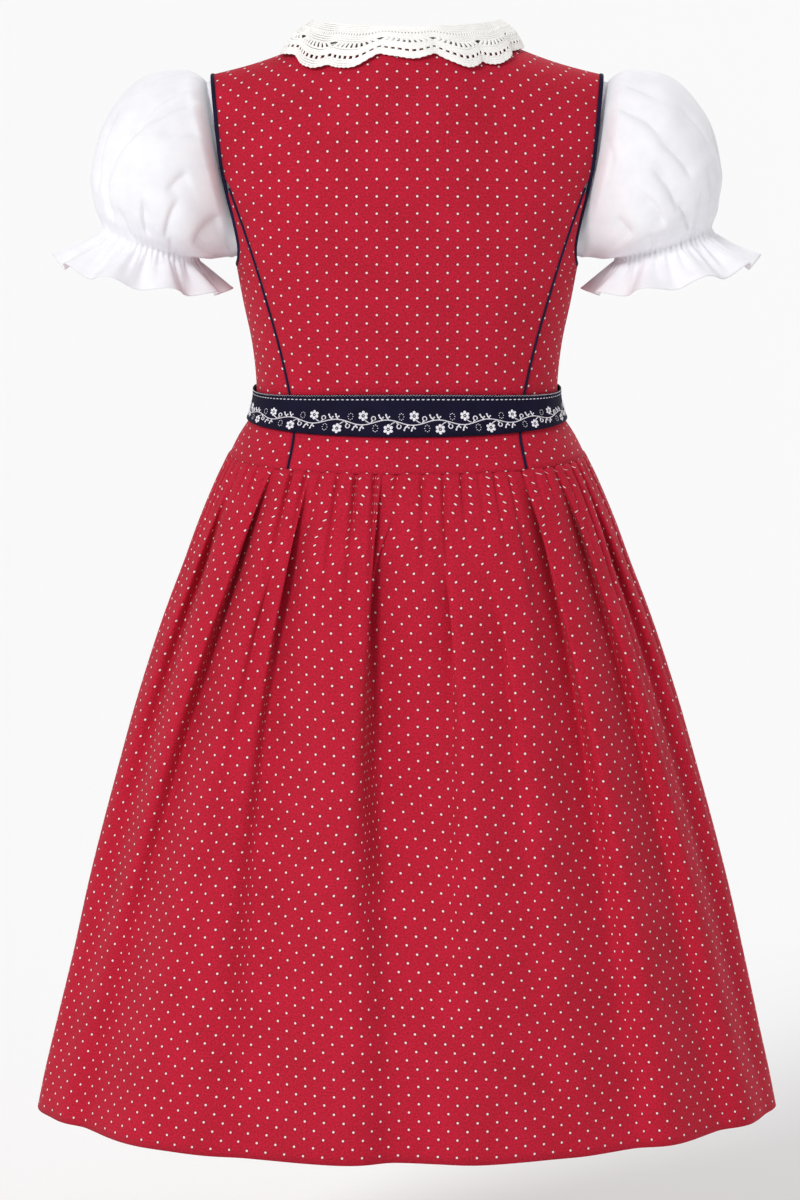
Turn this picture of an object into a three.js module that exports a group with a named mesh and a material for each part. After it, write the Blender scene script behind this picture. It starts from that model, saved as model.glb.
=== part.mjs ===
// A girl's dirndl as it is worn, with nobody in it: a dress of red cotton with small white dots over a short
// white blouse, and a navy woven band round the waist. Every piece of cloth is a thin wall, cut where a maker
// cuts it, so the neck, the armholes, the cuffs and the hem are open.
//
// Millimetres, +Z up. The front of the dress faces -Y and its left side is +X. The origin lies midway between
// the two shoulder seams, at the sides of the neck, where the wearer's shoulders carry the dress.
import * as THREE from "three";

const { PI, abs, acos, cos, exp, hypot, max, min, sign, sin, sqrt } = Math;
const Point = THREE.Vector3;
const DEGREE = PI / 180;

const BACK = 1;
const FRONT = -1;
const LEFT = 1;
const RIGHT = -1;

const SEAM_GAP = 0.3;
const BODICE_WALL = 1.4;
const SKIRT_WALL = 1.2;
const BLOUSE_WALL = 1.0;
const BAND_WALL = 1.4;
const LACE_WALL = 1.2;

// Heights of the dress, from the side of the neck down.
const NECK_HALF = 70;
const NECK_SIDE_Z = 1.5;
const NECK = { halfWidth: NECK_HALF, backZ: 4, sideZ: NECK_SIDE_Z, frontZ: -42 };
const SHOULDER_HALF = 137;
const SHOULDER_TIP_Z = -20.5;
const SHOULDER_SAG = 2;
const SHOULDER_ROUND = 140;
const NECK_RISE = 33.5;
const SEAM_TOP_Z = -93;
const SIDE_TOP_Z = -101;
const UNDERARM_Z = -157;
const YOKE_Z = -292.5;
const SKIRT_TOP_Z = YOKE_Z - SEAM_GAP;
const HEM_Z = -770;

// Half sizes of the body of the dress at each height. square is the exponent of the rounded section: 2 is an
// ellipse, and a larger one has flatter sides.
const BODY = [
  { z: 35, halfWidth: 152, back: 86, front: 80, square: 2.8 },
  { z: -20, halfWidth: 150, back: 86, front: 80, square: 2.8 },
  { z: -60, halfWidth: 145, back: 87, front: 82, square: 2.8 },
  { z: -100, halfWidth: 133.5, back: 88, front: 85, square: 2.8 },
  { z: -130, halfWidth: 126, back: 88, front: 86, square: 2.75 },
  { z: -157, halfWidth: 121.5, back: 87, front: 85, square: 2.6 },
  { z: -182, halfWidth: 117, back: 85, front: 82, square: 2.45 },
  { z: -211, halfWidth: 111, back: 81, front: 78, square: 2.35 },
  { z: -240, halfWidth: 107.8, back: 77.5, front: 74.5, square: 2.3 },
  { z: -254, halfWidth: 108.4, back: 79, front: 75.5, square: 2.3 },
  { z: -267, halfWidth: 112.4, back: 84, front: 79.5, square: 2.3 },
  { z: -280, halfWidth: 120.5, back: 92, front: 87, square: 2.3 },
  { z: -293, halfWidth: 127, back: 100, front: 94, square: 2.3 },
  { z: -312, halfWidth: 136.5, back: 108, front: 102, square: 2.25 },
  { z: -342, halfWidth: 149.5, back: 118, front: 112, square: 2.2 },
  { z: -371, halfWidth: 160.5, back: 126, front: 120, square: 2.16 },
  { z: -400, halfWidth: 172, back: 133, front: 127, square: 2.13 },
  { z: -429, halfWidth: 182.5, back: 140, front: 134, square: 2.1 },
  { z: -473, halfWidth: 197, back: 149, front: 143, square: 2.07 },
  { z: -517, halfWidth: 210, back: 158, front: 152, square: 2.05 },
  { z: -562, halfWidth: 223, back: 166, front: 160, square: 2.03 },
  { z: -606, halfWidth: 235, back: 174, front: 167, square: 2.02 },
  { z: -651, halfWidth: 246, back: 181, front: 174, square: 2 },
  { z: -695, halfWidth: 256.5, back: 187, front: 180, square: 2 },
  { z: -740, halfWidth: 266.5, back: 193, front: 186, square: 2 },
  { z: -770, halfWidth: 272, back: 196, front: 189, square: 2 },
];

// Where the armhole's edge lies, out from the middle, at each height.
const ARMHOLE = [
  { z: -20.5, back: 137, front: 137 },
  { z: -40, back: 135, front: 133.5 },
  { z: -60, back: 133, front: 130.5 },
  { z: -80, back: 130.8, front: 127.8 },
  { z: -100, back: 127, front: 124 },
  { z: -120, back: 122, front: 119.5 },
  { z: -137, back: 118.8, front: 117 },
  { z: -147, back: 119, front: 117.8 },
  { z: -153, back: 120.2, front: 119.6 },
  { z: -157, back: 121.5, front: 121.5 },
];

// The piped seam that runs from the armhole down to the skirt, out from the middle, at each height.
const PIPED_SEAM = [
  { z: -93, back: 127, front: 125 },
  { z: -123, back: 116, front: 110 },
  { z: -150, back: 107, front: 99 },
  { z: -177, back: 99, front: 90 },
  { z: -206, back: 91, front: 82 },
  { z: -240, back: 83.5, front: 75 },
  { z: -268, back: 80, front: 73 },
  { z: -293, back: 84.5, front: 77 },
];

// The large soft folds of the skirt. at and hem are degrees round from the middle of the back, towards the
// left side, at the gathers and at the hem. from and to are millimetres down from the gathers.
const FOLDS = [
  { at: 66, hem: 72, wide: 5, deep: 6, from: 30, to: 330 },
  { at: 44, hem: 60, wide: 5, deep: 9, from: 10, to: 400 },
  { at: 34, hem: 38, wide: 4.5, deep: 4, from: 60, to: 300 },
  { at: 28, hem: 24, wide: 5, deep: 10, from: 20, to: 330 },
  { at: 5, hem: 3, wide: 3.6, deep: 8, from: 10, to: 250 },
  { at: -7.5, hem: -4.5, wide: 3.4, deep: 6, from: 60, to: 270 },
  { at: -19, hem: -21, wide: 4.5, deep: 4, from: 80, to: 420 },
  { at: -35, hem: -36, wide: 5, deep: 10, from: 10, to: 420 },
  { at: -52, hem: -57, wide: 5.5, deep: 9, from: 15, to: 440 },
  { at: -70, hem: -75, wide: 5, deep: 6, from: 30, to: 380 },
  { at: -98, hem: -101, wide: 6, deep: 8, from: 20, to: 420 },
  { at: -118, hem: -121, wide: 5, deep: 9, from: 10, to: 380 },
  { at: -136, hem: -138, wide: 5, deep: 6, from: 40, to: 440 },
  { at: -153, hem: -156, wide: 5.5, deep: 10, from: 10, to: 360 },
  { at: -172, hem: -174, wide: 4.5, deep: 7, from: 30, to: 300 },
  { at: 168, hem: 165, wide: 5, deep: 8, from: 20, to: 430 },
  { at: 149, hem: 147, wide: 5, deep: 10, from: 10, to: 350 },
  { at: 131, hem: 129, wide: 4.5, deep: 5, from: 50, to: 420 },
  { at: 114, hem: 112, wide: 5.5, deep: 9, from: 15, to: 400 },
  { at: 95, hem: 94, wide: 5, deep: 7, from: 30, to: 360 },
];
const GATHERS = 64;
const GATHER_DEPTH = 1.9;
const GATHER_REACH = 62;

// The left sleeve's sections, from the armhole to the edge of its frill. inner is the underarm line and outer
// the line over the shoulder, each as x and z. deep is how far the section reaches to the back and the front.
const SLEEVE = [
  { t: 0.0, innerX: 121, innerZ: -149, outerX: 143.5, outerZ: -22, deep: 40 },
  { t: 0.12, innerX: 124, innerZ: -152, outerX: 158, outerZ: -17, deep: 49 },
  { t: 0.27, innerX: 128, innerZ: -154.5, outerX: 189, outerZ: -24, deep: 57 },
  { t: 0.42, innerX: 133, innerZ: -156.5, outerX: 215, outerZ: -53, deep: 60 },
  { t: 0.57, innerX: 139, innerZ: -157, outerX: 225, outerZ: -89, deep: 55 },
  { t: 0.68, innerX: 145, innerZ: -156.5, outerX: 222, outerZ: -115, deep: 44 },
  { t: 0.75, innerX: 149, innerZ: -157, outerX: 217, outerZ: -129, deep: 35 },
  { t: 0.8, innerX: 148, innerZ: -161, outerX: 219, outerZ: -134, deep: 36 },
];
const FRILL_START = 0.8;
const FRILL_DROP = 19;
const FRILL_SPREAD = 24;
const FRILL_WAVE = 4.5;
const FRILL_WAVES = 10;
const SLEEVE_COLUMNS = 40;
const CUFF_GATHERS = 20;
const CUFF_GATHER_DEPTH = 1.5;

// The sleeve's larger creases. at and end are degrees round from the underarm, first over the back. from and to
// are places on the same scale as t above.
const SLEEVE_CREASES = [
  { at: 131, end: 141, from: 0.1, to: 0.68, wide: 11, deep: 5 },
  { at: 102, end: 98, from: 0.55, to: 0.76, wide: 9, deep: 4 },
  { at: 66, end: 82, from: 0.3, to: 0.7, wide: 11, deep: 4.5 },
  { at: 166, end: 172, from: 0.2, to: 0.6, wide: 10, deep: 3.5 },
  { at: 222, end: 212, from: 0.1, to: 0.62, wide: 11, deep: 5 },
  { at: 258, end: 264, from: 0.5, to: 0.76, wide: 9, deep: 4 },
  { at: 292, end: 284, from: 0.2, to: 0.66, wide: 11, deep: 4.5 },
];

const PIPING_RADIUS = 0.9;
const PIPED_GAP = PIPING_RADIUS + 1.5 * SEAM_GAP;
const BINDING_HALF_WIDTH = 1.7;
const BINDING_HALF_HEIGHT = 1.1;

// The blouse lies this far inside the dress, and its armhole shows beyond the dress's own.
const BLOUSE_INSET = 4.1;
const BLOUSE_HEM_Z = -190;
const BLOUSE_UNDERARM_Z = -150;
const BLOUSE_NECK = { halfWidth: 66, backZ: 8, sideZ: -1.4, frontZ: -37 };
const BLOUSE_ARMHOLE = [
  { z: -25.7, back: 142.5, front: 142.5 },
  { z: -31, back: 141, front: 140.5 },
  { z: -40, back: 139, front: 137.8 },
  { z: -60, back: 135.6, front: 133.8 },
  { z: -80, back: 131.8, front: 129.8 },
  { z: -100, back: 126.6, front: 124.6 },
  { z: -120, back: 121.3, front: 119.8 },
  { z: -137, back: 117.8, front: 116.8 },
  { z: -145, back: 117.4, front: 116.9 },
  { z: -150, back: 118.6, front: 118.6 },
];
const NECKBAND_TOP = { halfWidth: 66, back: 46, front: 60, backZ: 15.5, sideZ: 16.5, frontZ: -28 };
const NECKBAND_GAP = 1.7;

// The lace collar folds over the top of the neckband and falls to this oval on the dress.
const COLLAR_EDGE = { halfWidth: 88, back: 60, front: 73 };
const COLLAR_RAISE = 2.4;
const COLLAR_LIFT = 2.6;
const COLLAR_ARCH = 2.5;
const COLLAR_OPENING = 1.2 * DEGREE;
const SCALLOPS = 13;
const SCALLOP_DEPTH = 3;

const BAND_TOP_Z = -245.5;
const BAND_BOTTOM_Z = -266.5;
const BAND_BACK_RISE = 4;
const BAND_BACK_DROP = 1.5;
const BAND_LIFT = 2.7;
const BAND_LAP = 9;

const STRIP_HALF_WIDTH = 9;
const STRIP_TOP_Z = -47;
const STRIP_BOTTOM_Z = -244;
const STRIP_LIFT = 1.6;
const BUTTONS = 7;
const BUTTON_RADIUS = 4.6;
const BUTTON_HEIGHT = 2.6;
const BUTTON_TOP_Z = -58;
const BUTTON_PITCH = 27;

// Reads a column of a table between its rows, along a smooth curve through them.
function read(table, key, at, column) {
  const last = table.length - 1;
  const way = sign(table[last][key] - table[0][key]);
  if ((at - table[0][key]) * way <= 0) return table[0][column];
  if ((at - table[last][key]) * way >= 0) return table[last][column];
  let i = 0;
  while ((at - table[i + 1][key]) * way > 0) i += 1;
  const slope = (row) => {
    const before = table[max(row - 1, 0)];
    const after = table[min(row + 1, last)];
    return (after[column] - before[column]) / (after[key] - before[key]);
  };
  const span = table[i + 1][key] - table[i][key];
  const t = (at - table[i][key]) / span;
  return (
    (1 + 2 * t) * (1 - t) ** 2 * table[i][column] +
    t * (1 - t) ** 2 * span * slope(i) +
    t * t * (3 - 2 * t) * table[i + 1][column] +
    t * t * (t - 1) * span * slope(i + 1)
  );
}

function ease(share) {
  const t = min(max(share, 0), 1);
  return t * t * (3 - 2 * t);
}

const mix = (a, b, share) => a + (b - a) * share;
const depthColumn = (side) => (side === BACK ? "back" : "front");

// Height of the line over the shoulder where the front and the back meet.
function shoulderLine(x) {
  const out = abs(x);
  if (out < NECK_HALF) return NECK_SIDE_Z + NECK_RISE * (1 - (out / NECK_HALF) ** 2) ** 1.7;
  const share = (out - NECK_HALF) / (SHOULDER_HALF - NECK_HALF);
  return mix(NECK_SIDE_Z, SHOULDER_TIP_Z, share) - SHOULDER_SAG * sin(PI * min(share, 1));
}

// A neckline's height at x: shallow behind and round in front.
function neckHeight(neck, x, side) {
  const across = min(abs(x) / neck.halfWidth, 1);
  if (side === BACK) return mix(neck.backZ, neck.sideZ, across ** 2);
  return mix(neck.sideZ, neck.frontZ, (1 - across ** 2) ** 0.62);
}

const topOf = (neck, inset = 0) => (side) => (x) =>
  abs(x) < neck.halfWidth ? neckHeight(neck, x, side) : shoulderLine(x) - inset;

// How far the body's surface lies behind or before the middle at x and z. inset is how far inside it lies.
function bodyDepth(x, z, side, inset = 0) {
  const square = read(BODY, "z", z, "square");
  const across = min(abs(x) / (read(BODY, "z", z, "halfWidth") - inset), 1);
  const below = min(max(shoulderLine(x) - inset - z, 0) / SHOULDER_ROUND, 1);
  const deep = (read(BODY, "z", z, depthColumn(side)) - inset) * (1 - across ** square) ** (1 / square);
  return deep * sqrt(1 - (1 - below) ** 2);
}

function bodyPoint(x, z, side, inset = 0) {
  return new Point(x, side * max(bodyDepth(x, z, side, inset), SEAM_GAP / 2), z);
}

// A column of points that keeps a share of the way from one edge curve to the other, as an angle round the
// section, so that columns stay even where the surface turns away at the side.
function columnBetween(edgeFrom, edgeTo, share) {
  return (z) => {
    const half = read(BODY, "z", z, "halfWidth");
    const square = read(BODY, "z", z, "square");
    const angle = (x) => acos(sign(x) * min(abs(x) / half, 1) ** (square / 2));
    const turn = mix(angle(edgeFrom(z)), angle(edgeTo(z)), share);
    return half * sign(cos(turn)) * abs(cos(turn)) ** (2 / square);
  };
}

const columnsBetween = (from, to, shares) => shares.map((share) => columnBetween(from, to, share));

// Rows of points on the body: level rows at the given heights, then rows that rise to the top edge.
function bodyRows({ side, columns, heights, rises = [], top, inset = 0 }) {
  const rows = heights.map((z) => columns.map((column) => bodyPoint(column(z), z, side, inset)));
  const start = heights[heights.length - 1];
  for (const rise of rises) {
    const level = mix(start, SHOULDER_TIP_Z, rise);
    rows.push(
      columns.map((column) => {
        const x = column(level);
        return bodyPoint(x, mix(start, top(x), rise), side, inset);
      }),
    );
  }
  return rows;
}

// Triangles between rows of points. A row may hold half as many points as the row before it.
function surfaceOf(rows, closed = false) {
  const points = rows.flat();
  const faces = [];
  let first = 0;
  for (let r = 0; r + 1 < rows.length; r += 1) {
    const here = rows[r].length;
    const next = rows[r + 1].length;
    const a = (k) => first + (k % here);
    const b = (k) => first + here + (k % next);
    const cells = closed ? next : next - 1;
    for (let k = 0; k < cells; k += 1) {
      if (here === next) faces.push([a(k), a(k + 1), b(k + 1)], [a(k), b(k + 1), b(k)]);
      else {
        faces.push([a(2 * k), a(2 * k + 1), b(k)]);
        faces.push([a(2 * k + 1), b(k + 1), b(k)]);
        faces.push([a(2 * k + 1), a(2 * k + 2), b(k + 1)]);
      }
    }
    first += here;
  }
  return { points, faces };
}

// Each point's outward direction. A point where front and back meet, or at the level seam of the skirt, has
// one that stays level with that seam.
function directionsOf({ points, faces }, outward) {
  const sums = points.map(() => new Point());
  let facing = 0;
  for (const [a, b, c] of faces) {
    const normal = points[b].clone().sub(points[a]).cross(points[c].clone().sub(points[a]));
    facing += normal.dot(outward(points[a]));
    for (const k of [a, b, c]) sums[k].add(normal);
  }
  const way = sign(facing);
  sums.forEach((sum, k) => {
    if (abs(points[k].x) <= SEAM_GAP) sum.x = 0;
    if (abs(points[k].y) <= SEAM_GAP) sum.y = 0;
    if (abs(points[k].z - YOKE_Z) <= SEAM_GAP) sum.z = 0;
    sum.multiplyScalar(way).normalize();
  });
  return { directions: sums, way };
}

const fromMiddle = (p) => new Point(p.x, p.y, 0);

// Moves rows of points out from the body, or in where the distance is below 0.
function movedOut(rows, distance, outward = fromMiddle, closed = false) {
  const { points, faces } = surfaceOf(rows, closed);
  const { directions } = directionsOf({ points, faces }, outward);
  let k = 0;
  return rows.map((row) => row.map((p) => p.clone().addScaledVector(directions[k++], distance)));
}

function geometryOf(points, faces) {
  const positions = new Float32Array(points.flatMap((p) => [p.x, p.y, p.z]));
  const geometry = new THREE.BufferGeometry();
  geometry.setAttribute("position", new THREE.BufferAttribute(positions, 3));
  geometry.setIndex(faces.flat());
  geometry.computeVertexNormals();
  return geometry;
}

// A wall of cloth: the rows are its outer face, a second face lies inside, and strips close its edges.
function wallOf(rows, thickness, { outward = fromMiddle, closed = false } = {}) {
  const { points, faces } = surfaceOf(rows, closed);
  const { directions, way } = directionsOf({ points, faces }, outward);
  const count = points.length;
  const inner = points.map((p, k) => p.clone().addScaledVector(directions[k], -thickness));
  const outerFaces = way > 0 ? faces : faces.map(([a, b, c]) => [a, c, b]);
  const all = [...outerFaces, ...outerFaces.map(([a, b, c]) => [a + count, c + count, b + count])];
  const edges = new Set(outerFaces.flatMap(([a, b, c]) => [`${a} ${b}`, `${b} ${c}`, `${c} ${a}`]));
  for (const edge of edges) {
    const [a, b] = edge.split(" ").map(Number);
    if (!edges.has(`${b} ${a}`)) all.push([b, a, a + count], [b, a + count, b + count]);
  }
  return geometryOf([...points, ...inner], all);
}

// A round or oval cord along a path. up is the cloth's outward direction at each point.
function cordAlong(path, ups, halfWidth, halfHeight, closed = false) {
  const sides = 6;
  const count = path.length;
  const points = [];
  path.forEach((p, i) => {
    const before = path[closed ? (i + count - 1) % count : max(i - 1, 0)];
    const after = path[closed ? (i + 1) % count : min(i + 1, count - 1)];
    const along = after.clone().sub(before).normalize();
    const up = ups[i].clone().addScaledVector(along, -ups[i].dot(along)).normalize();
    const across = along.clone().cross(up);
    for (let k = 0; k < sides; k += 1) {
      const turn = ((k + 0.5) / sides) * 2 * PI;
      const place = p.clone().addScaledVector(across, halfWidth * cos(turn));
      points.push(place.addScaledVector(up, halfHeight * sin(turn)));
    }
  });
  const faces = [];
  for (let i = 0; i + (closed ? 0 : 1) < count; i += 1) {
    const a = i * sides;
    const b = ((i + 1) % count) * sides;
    for (let k = 0; k < sides; k += 1) {
      const n = (k + 1) % sides;
      faces.push([a + k, b + n, a + n], [a + k, b + k, b + n]);
    }
  }
  if (!closed) {
    const end = (count - 1) * sides;
    for (let k = 1; k + 1 < sides; k += 1) faces.push([0, k, k + 1], [end, end + k + 1, end + k]);
  }
  return geometryOf(points, faces);
}

const material = (color, roughness) => new THREE.MeshStandardMaterial({ color, roughness, metalness: 0 });
const redCotton = material(0xb8243a, 0.85);
const navyCloth = material(0x14142e, 0.8);
const whiteCotton = material(0xf4f3f6, 0.9);
const whiteLace = material(0xf6f5f2, 0.95);
const navyButton = material(0x191a35, 0.35);

const dirndl = new THREE.Group();

function add(name, geometry, finish) {
  const mesh = new THREE.Mesh(geometry, finish);
  mesh.name = name;
  dirndl.add(mesh);
  return mesh;
}

const armholeEdge = (side) => (z) => read(ARMHOLE, "z", z, depthColumn(side));
const pipedSeam = (side) => (z) => read(PIPED_SEAM, "z", z, depthColumn(side));
const sideLine = (z) => read(BODY, "z", z, "halfWidth");

// The wide panel's edge is the piped seam below and the armhole above it.
function panelEdge(side) {
  return (z) => (z > SEAM_TOP_Z ? armholeEdge(side)(z) : pipedSeam(side)(z) - PIPED_GAP);
}

const LOWER_HEIGHTS = [YOKE_Z, -280, -267, -254, -240, -211, -182, -157, -151, -141, -122, SIDE_TOP_Z];
const SHOULDER_RISES = [0.12, 0.34, 0.56, 0.75, 0.9, 0.97, 1];
const BLOUSE_RISES = [0.22, 0.46, 0.7, 0.88, 0.965, 1];

// Shares across half a panel, from its edge to the middle, with one column that ends at the corner of neck and
// shoulder. past are the further ones, as shares from that corner to the middle.
function halfShares(edgeX, cornerX, past) {
  const square = read(BODY, "z", SHOULDER_TIP_Z, "square");
  const angle = (x) => acos((x / read(BODY, "z", SHOULDER_TIP_Z, "halfWidth")) ** (square / 2));
  const corner = (angle(cornerX) - angle(edgeX)) / (PI / 2 - angle(edgeX));
  return [0, 0.33 * corner, 0.66 * corner, corner, ...past.map((share) => mix(corner, 1, share))];
}

function backPanel() {
  const edge = panelEdge(BACK);
  const half = halfShares(edge(SHOULDER_TIP_Z), NECK_HALF, [0.33, 0.66]).map((share) => share / 2);
  const shares = [...half, 0.5, ...half.map((share) => 1 - share).reverse()];
  const columns = columnsBetween(edge, (z) => -edge(z), shares);
  return bodyRows({ side: BACK, columns, heights: LOWER_HEIGHTS, rises: SHOULDER_RISES, top: topOf(NECK)(BACK) });
}

function frontPanel(hand) {
  const edge = panelEdge(FRONT);
  const middle = () => SEAM_GAP / 2;
  const shares = [...halfShares(edge(SHOULDER_TIP_Z), NECK_HALF, [0.1, 0.35, 0.67]), 1];
  const columns = columnsBetween(edge, middle, shares).map((column) => (z) => hand * column(z));
  return bodyRows({ side: FRONT, columns, heights: LOWER_HEIGHTS, rises: SHOULDER_RISES, top: topOf(NECK)(FRONT) });
}

function sidePanel(side, hand) {
  const outer = (z) => (z <= UNDERARM_Z ? sideLine(z) : armholeEdge(side)(z));
  const inner = (z) => pipedSeam(side)(z) + PIPED_GAP;
  const columns = columnsBetween(outer, inner, [0, 0.33, 0.67, 1]).map((column) => (z) => hand * column(z));
  return bodyRows({ side, columns, heights: LOWER_HEIGHTS });
}

// The path and outward directions of a line on the body that x gives for each height.
function bodyLine(xAt, heights, side, lift) {
  const strip = heights.map((z) => [-2, 0, 2].map((step) => bodyPoint(xAt(z) + step, z, side)));
  const surface = surfaceOf(strip);
  const { directions } = directionsOf(surface, fromMiddle);
  const ups = heights.map((_, k) => directions[3 * k + 1]);
  return { path: strip.map((row, k) => row[1].clone().addScaledVector(ups[k], lift)), ups };
}

const PIPING_HEIGHTS = [YOKE_Z + 0.5, ...LOWER_HEIGHTS.slice(1, -1), SIDE_TOP_Z - 3];

function seamPiping(side, hand) {
  const { path, ups } = bodyLine((z) => hand * pipedSeam(side)(z), PIPING_HEIGHTS, side, -0.2);
  return cordAlong(path, ups, PIPING_RADIUS, PIPING_RADIUS);
}

// The armhole's edge on one side, at the heights where the panels have points, from the underarm up.
function armholeSide(side) {
  const edge = armholeEdge(side);
  const lower = LOWER_HEIGHTS.filter((z) => z > UNDERARM_Z).map((z) => bodyPoint(edge(z), z, side));
  const upper = SHOULDER_RISES.slice(0, -1).map((rise) => {
    const x = edge(mix(SIDE_TOP_Z, SHOULDER_TIP_Z, rise));
    return bodyPoint(x, mix(SIDE_TOP_Z, shoulderLine(x), rise), side);
  });
  return [...lower, ...upper];
}

// The armhole's edge as a loop, moved out into the opening: up the back, over the shoulder, down the front.
function armholeLoop(hand, out) {
  const tip = new Point(SHOULDER_HALF, 0, SHOULDER_TIP_Z);
  const pit = new Point(sideLine(UNDERARM_Z), 0, UNDERARM_Z);
  const loop = [pit, ...armholeSide(BACK), tip, ...armholeSide(FRONT).reverse()];
  const centre = new Point(128, 0, mix(UNDERARM_Z, SHOULDER_TIP_Z, 0.5));
  const count = loop.length;
  const ups = loop.map((p) => {
    const height = ease((p.z - UNDERARM_Z) / (SHOULDER_TIP_Z - UNDERARM_Z));
    return new Point(mix(0.9, 0.25, height), (p.y / 42) * 0.75, height ** 3).normalize();
  });
  const path = loop.map((p, i) => {
    const along = loop[(i + 1) % count].clone().sub(loop[(i + count - 1) % count]).normalize();
    const across = along.clone().cross(ups[i]).normalize();
    across.multiplyScalar(sign(across.dot(centre.clone().sub(p))));
    const moved = p.clone().addScaledVector(across, out);
    return new Point(hand * moved.x, moved.y, moved.z);
  });
  return { path, ups: ups.map((u) => new Point(hand * u.x, u.y, u.z)) };
}

function armholeBinding(hand) {
  const { path, ups } = armholeLoop(hand, BINDING_HALF_WIDTH + 2 * SEAM_GAP);
  const middle = path.map((p, i) => p.clone().addScaledVector(ups[i], -BODICE_WALL / 2));
  return cordAlong(middle, ups, BINDING_HALF_WIDTH, BINDING_HALF_HEIGHT, true);
}

// How far the skirt's cloth stands out from its plain form, round from the left side and down from the gathers.
function skirtFold(turn, down) {
  const fromBack = 90 - turn / DEGREE;
  const uneven = 1 + 0.3 * sin(5 * turn + 1) + 0.25 * sin(11 * turn + 0.4);
  const reach = GATHER_REACH * (1 + 0.35 * sin(7 * turn + 2));
  const phase = GATHERS * turn + 0.7 * sin(3 * turn);
  let out = GATHER_DEPTH * uneven * cos(phase) * exp(-down / reach);
  for (const fold of FOLDS) {
    const middle = mix(fold.at, fold.hem, min(down / (SKIRT_TOP_Z - HEM_Z), 1));
    const away = ((((fromBack - middle) % 360) + 540) % 360) - 180;
    const grown = ease((down - fold.from) / 70) * (1 - 0.6 * ease((down - fold.to) / 150));
    out -= fold.deep * grown * exp(-((away / fold.wide) ** 2));
  }
  return out;
}

function skirtPoint(turn, z) {
  const side = sin(turn) >= 0 ? BACK : FRONT;
  const square = read(BODY, "z", z, "square");
  const halfWidth = read(BODY, "z", z, "halfWidth");
  const deep = read(BODY, "z", z, depthColumn(side));
  const x = halfWidth * sign(cos(turn)) * abs(cos(turn)) ** (2 / square);
  const y = side * deep * abs(sin(turn)) ** (2 / square);
  const length = hypot(deep * cos(turn), halfWidth * sin(turn));
  const out = skirtFold(turn, SKIRT_TOP_Z - z);
  return new Point(x + (out * deep * cos(turn)) / length, y + (out * halfWidth * sin(turn)) / length, z);
}

const FINE_DROPS = [0, 10, 34];
const COARSE_DROPS = [76, 140, 215, 300, 390, SKIRT_TOP_Z - HEM_Z];
const FINE_CELLS = 128;

function skirtPanel(side) {
  const row = (cells) => (drop) => {
    const points = [];
    for (let k = 0; k <= cells; k += 1) {
      const turn = (side === BACK ? 0 : PI) + (PI * k) / cells;
      const p = skirtPoint(turn, SKIRT_TOP_Z - drop);
      if (k === 0 || k === cells) p.y = (side * SEAM_GAP) / 2;
      points.push(p);
    }
    return points;
  };
  return [...FINE_DROPS.map(row(FINE_CELLS)), ...COARSE_DROPS.map(row(FINE_CELLS / 2))];
}

// One panel of the blouse's body, from its hem inside the bodice to the neck and the shoulder.
function blousePanel(side) {
  const armhole = (z) => read(BLOUSE_ARMHOLE, "z", z, depthColumn(side));
  const edge = (z) => (z <= BLOUSE_UNDERARM_Z ? sideLine(z) - BLOUSE_INSET : armhole(z));
  const half = halfShares(BLOUSE_ARMHOLE[0].back, BLOUSE_NECK.halfWidth, [0.22, 0.46, 0.73]);
  const shares = [...half.map((share) => share / 2), 0.5, ...half.map((share) => 1 - share / 2).reverse()];
  const columns = columnsBetween(edge, (z) => -edge(z), shares);
  const heights = [BLOUSE_HEM_Z, BLOUSE_UNDERARM_Z, -142, -122, SIDE_TOP_Z];
  const top = topOf(BLOUSE_NECK, BLOUSE_INSET)(side);
  return bodyRows({ side, columns, heights, rises: BLOUSE_RISES, top, inset: BLOUSE_INSET });
}

// The blouse's armhole, where a sleeve begins, at each turn from the underarm over the back.
function blouseArmhole(turn) {
  const side = sin(turn) >= 0 ? BACK : FRONT;
  const z = mix(BLOUSE_UNDERARM_Z + SEAM_GAP, BLOUSE_ARMHOLE[0].z, (1 - cos(turn)) / 2);
  const x = read(BLOUSE_ARMHOLE, "z", z, depthColumn(side)) + 3.4 * SEAM_GAP;
  return new Point(x, side * bodyDepth(x, z, side, BLOUSE_INSET), z);
}

function sleeveCrease(t, turn) {
  const round = turn / DEGREE;
  let out = 0;
  for (const crease of SLEEVE_CREASES) {
    const along = (t - crease.from) / (crease.to - crease.from);
    const middle = mix(crease.at, crease.end, along);
    const length = ease(along / 0.3 + 0.3) * ease((1 - along) / 0.3 + 0.3);
    out -= crease.deep * length * exp(-(((round - middle) / crease.wide) ** 2));
  }
  return out;
}

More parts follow.
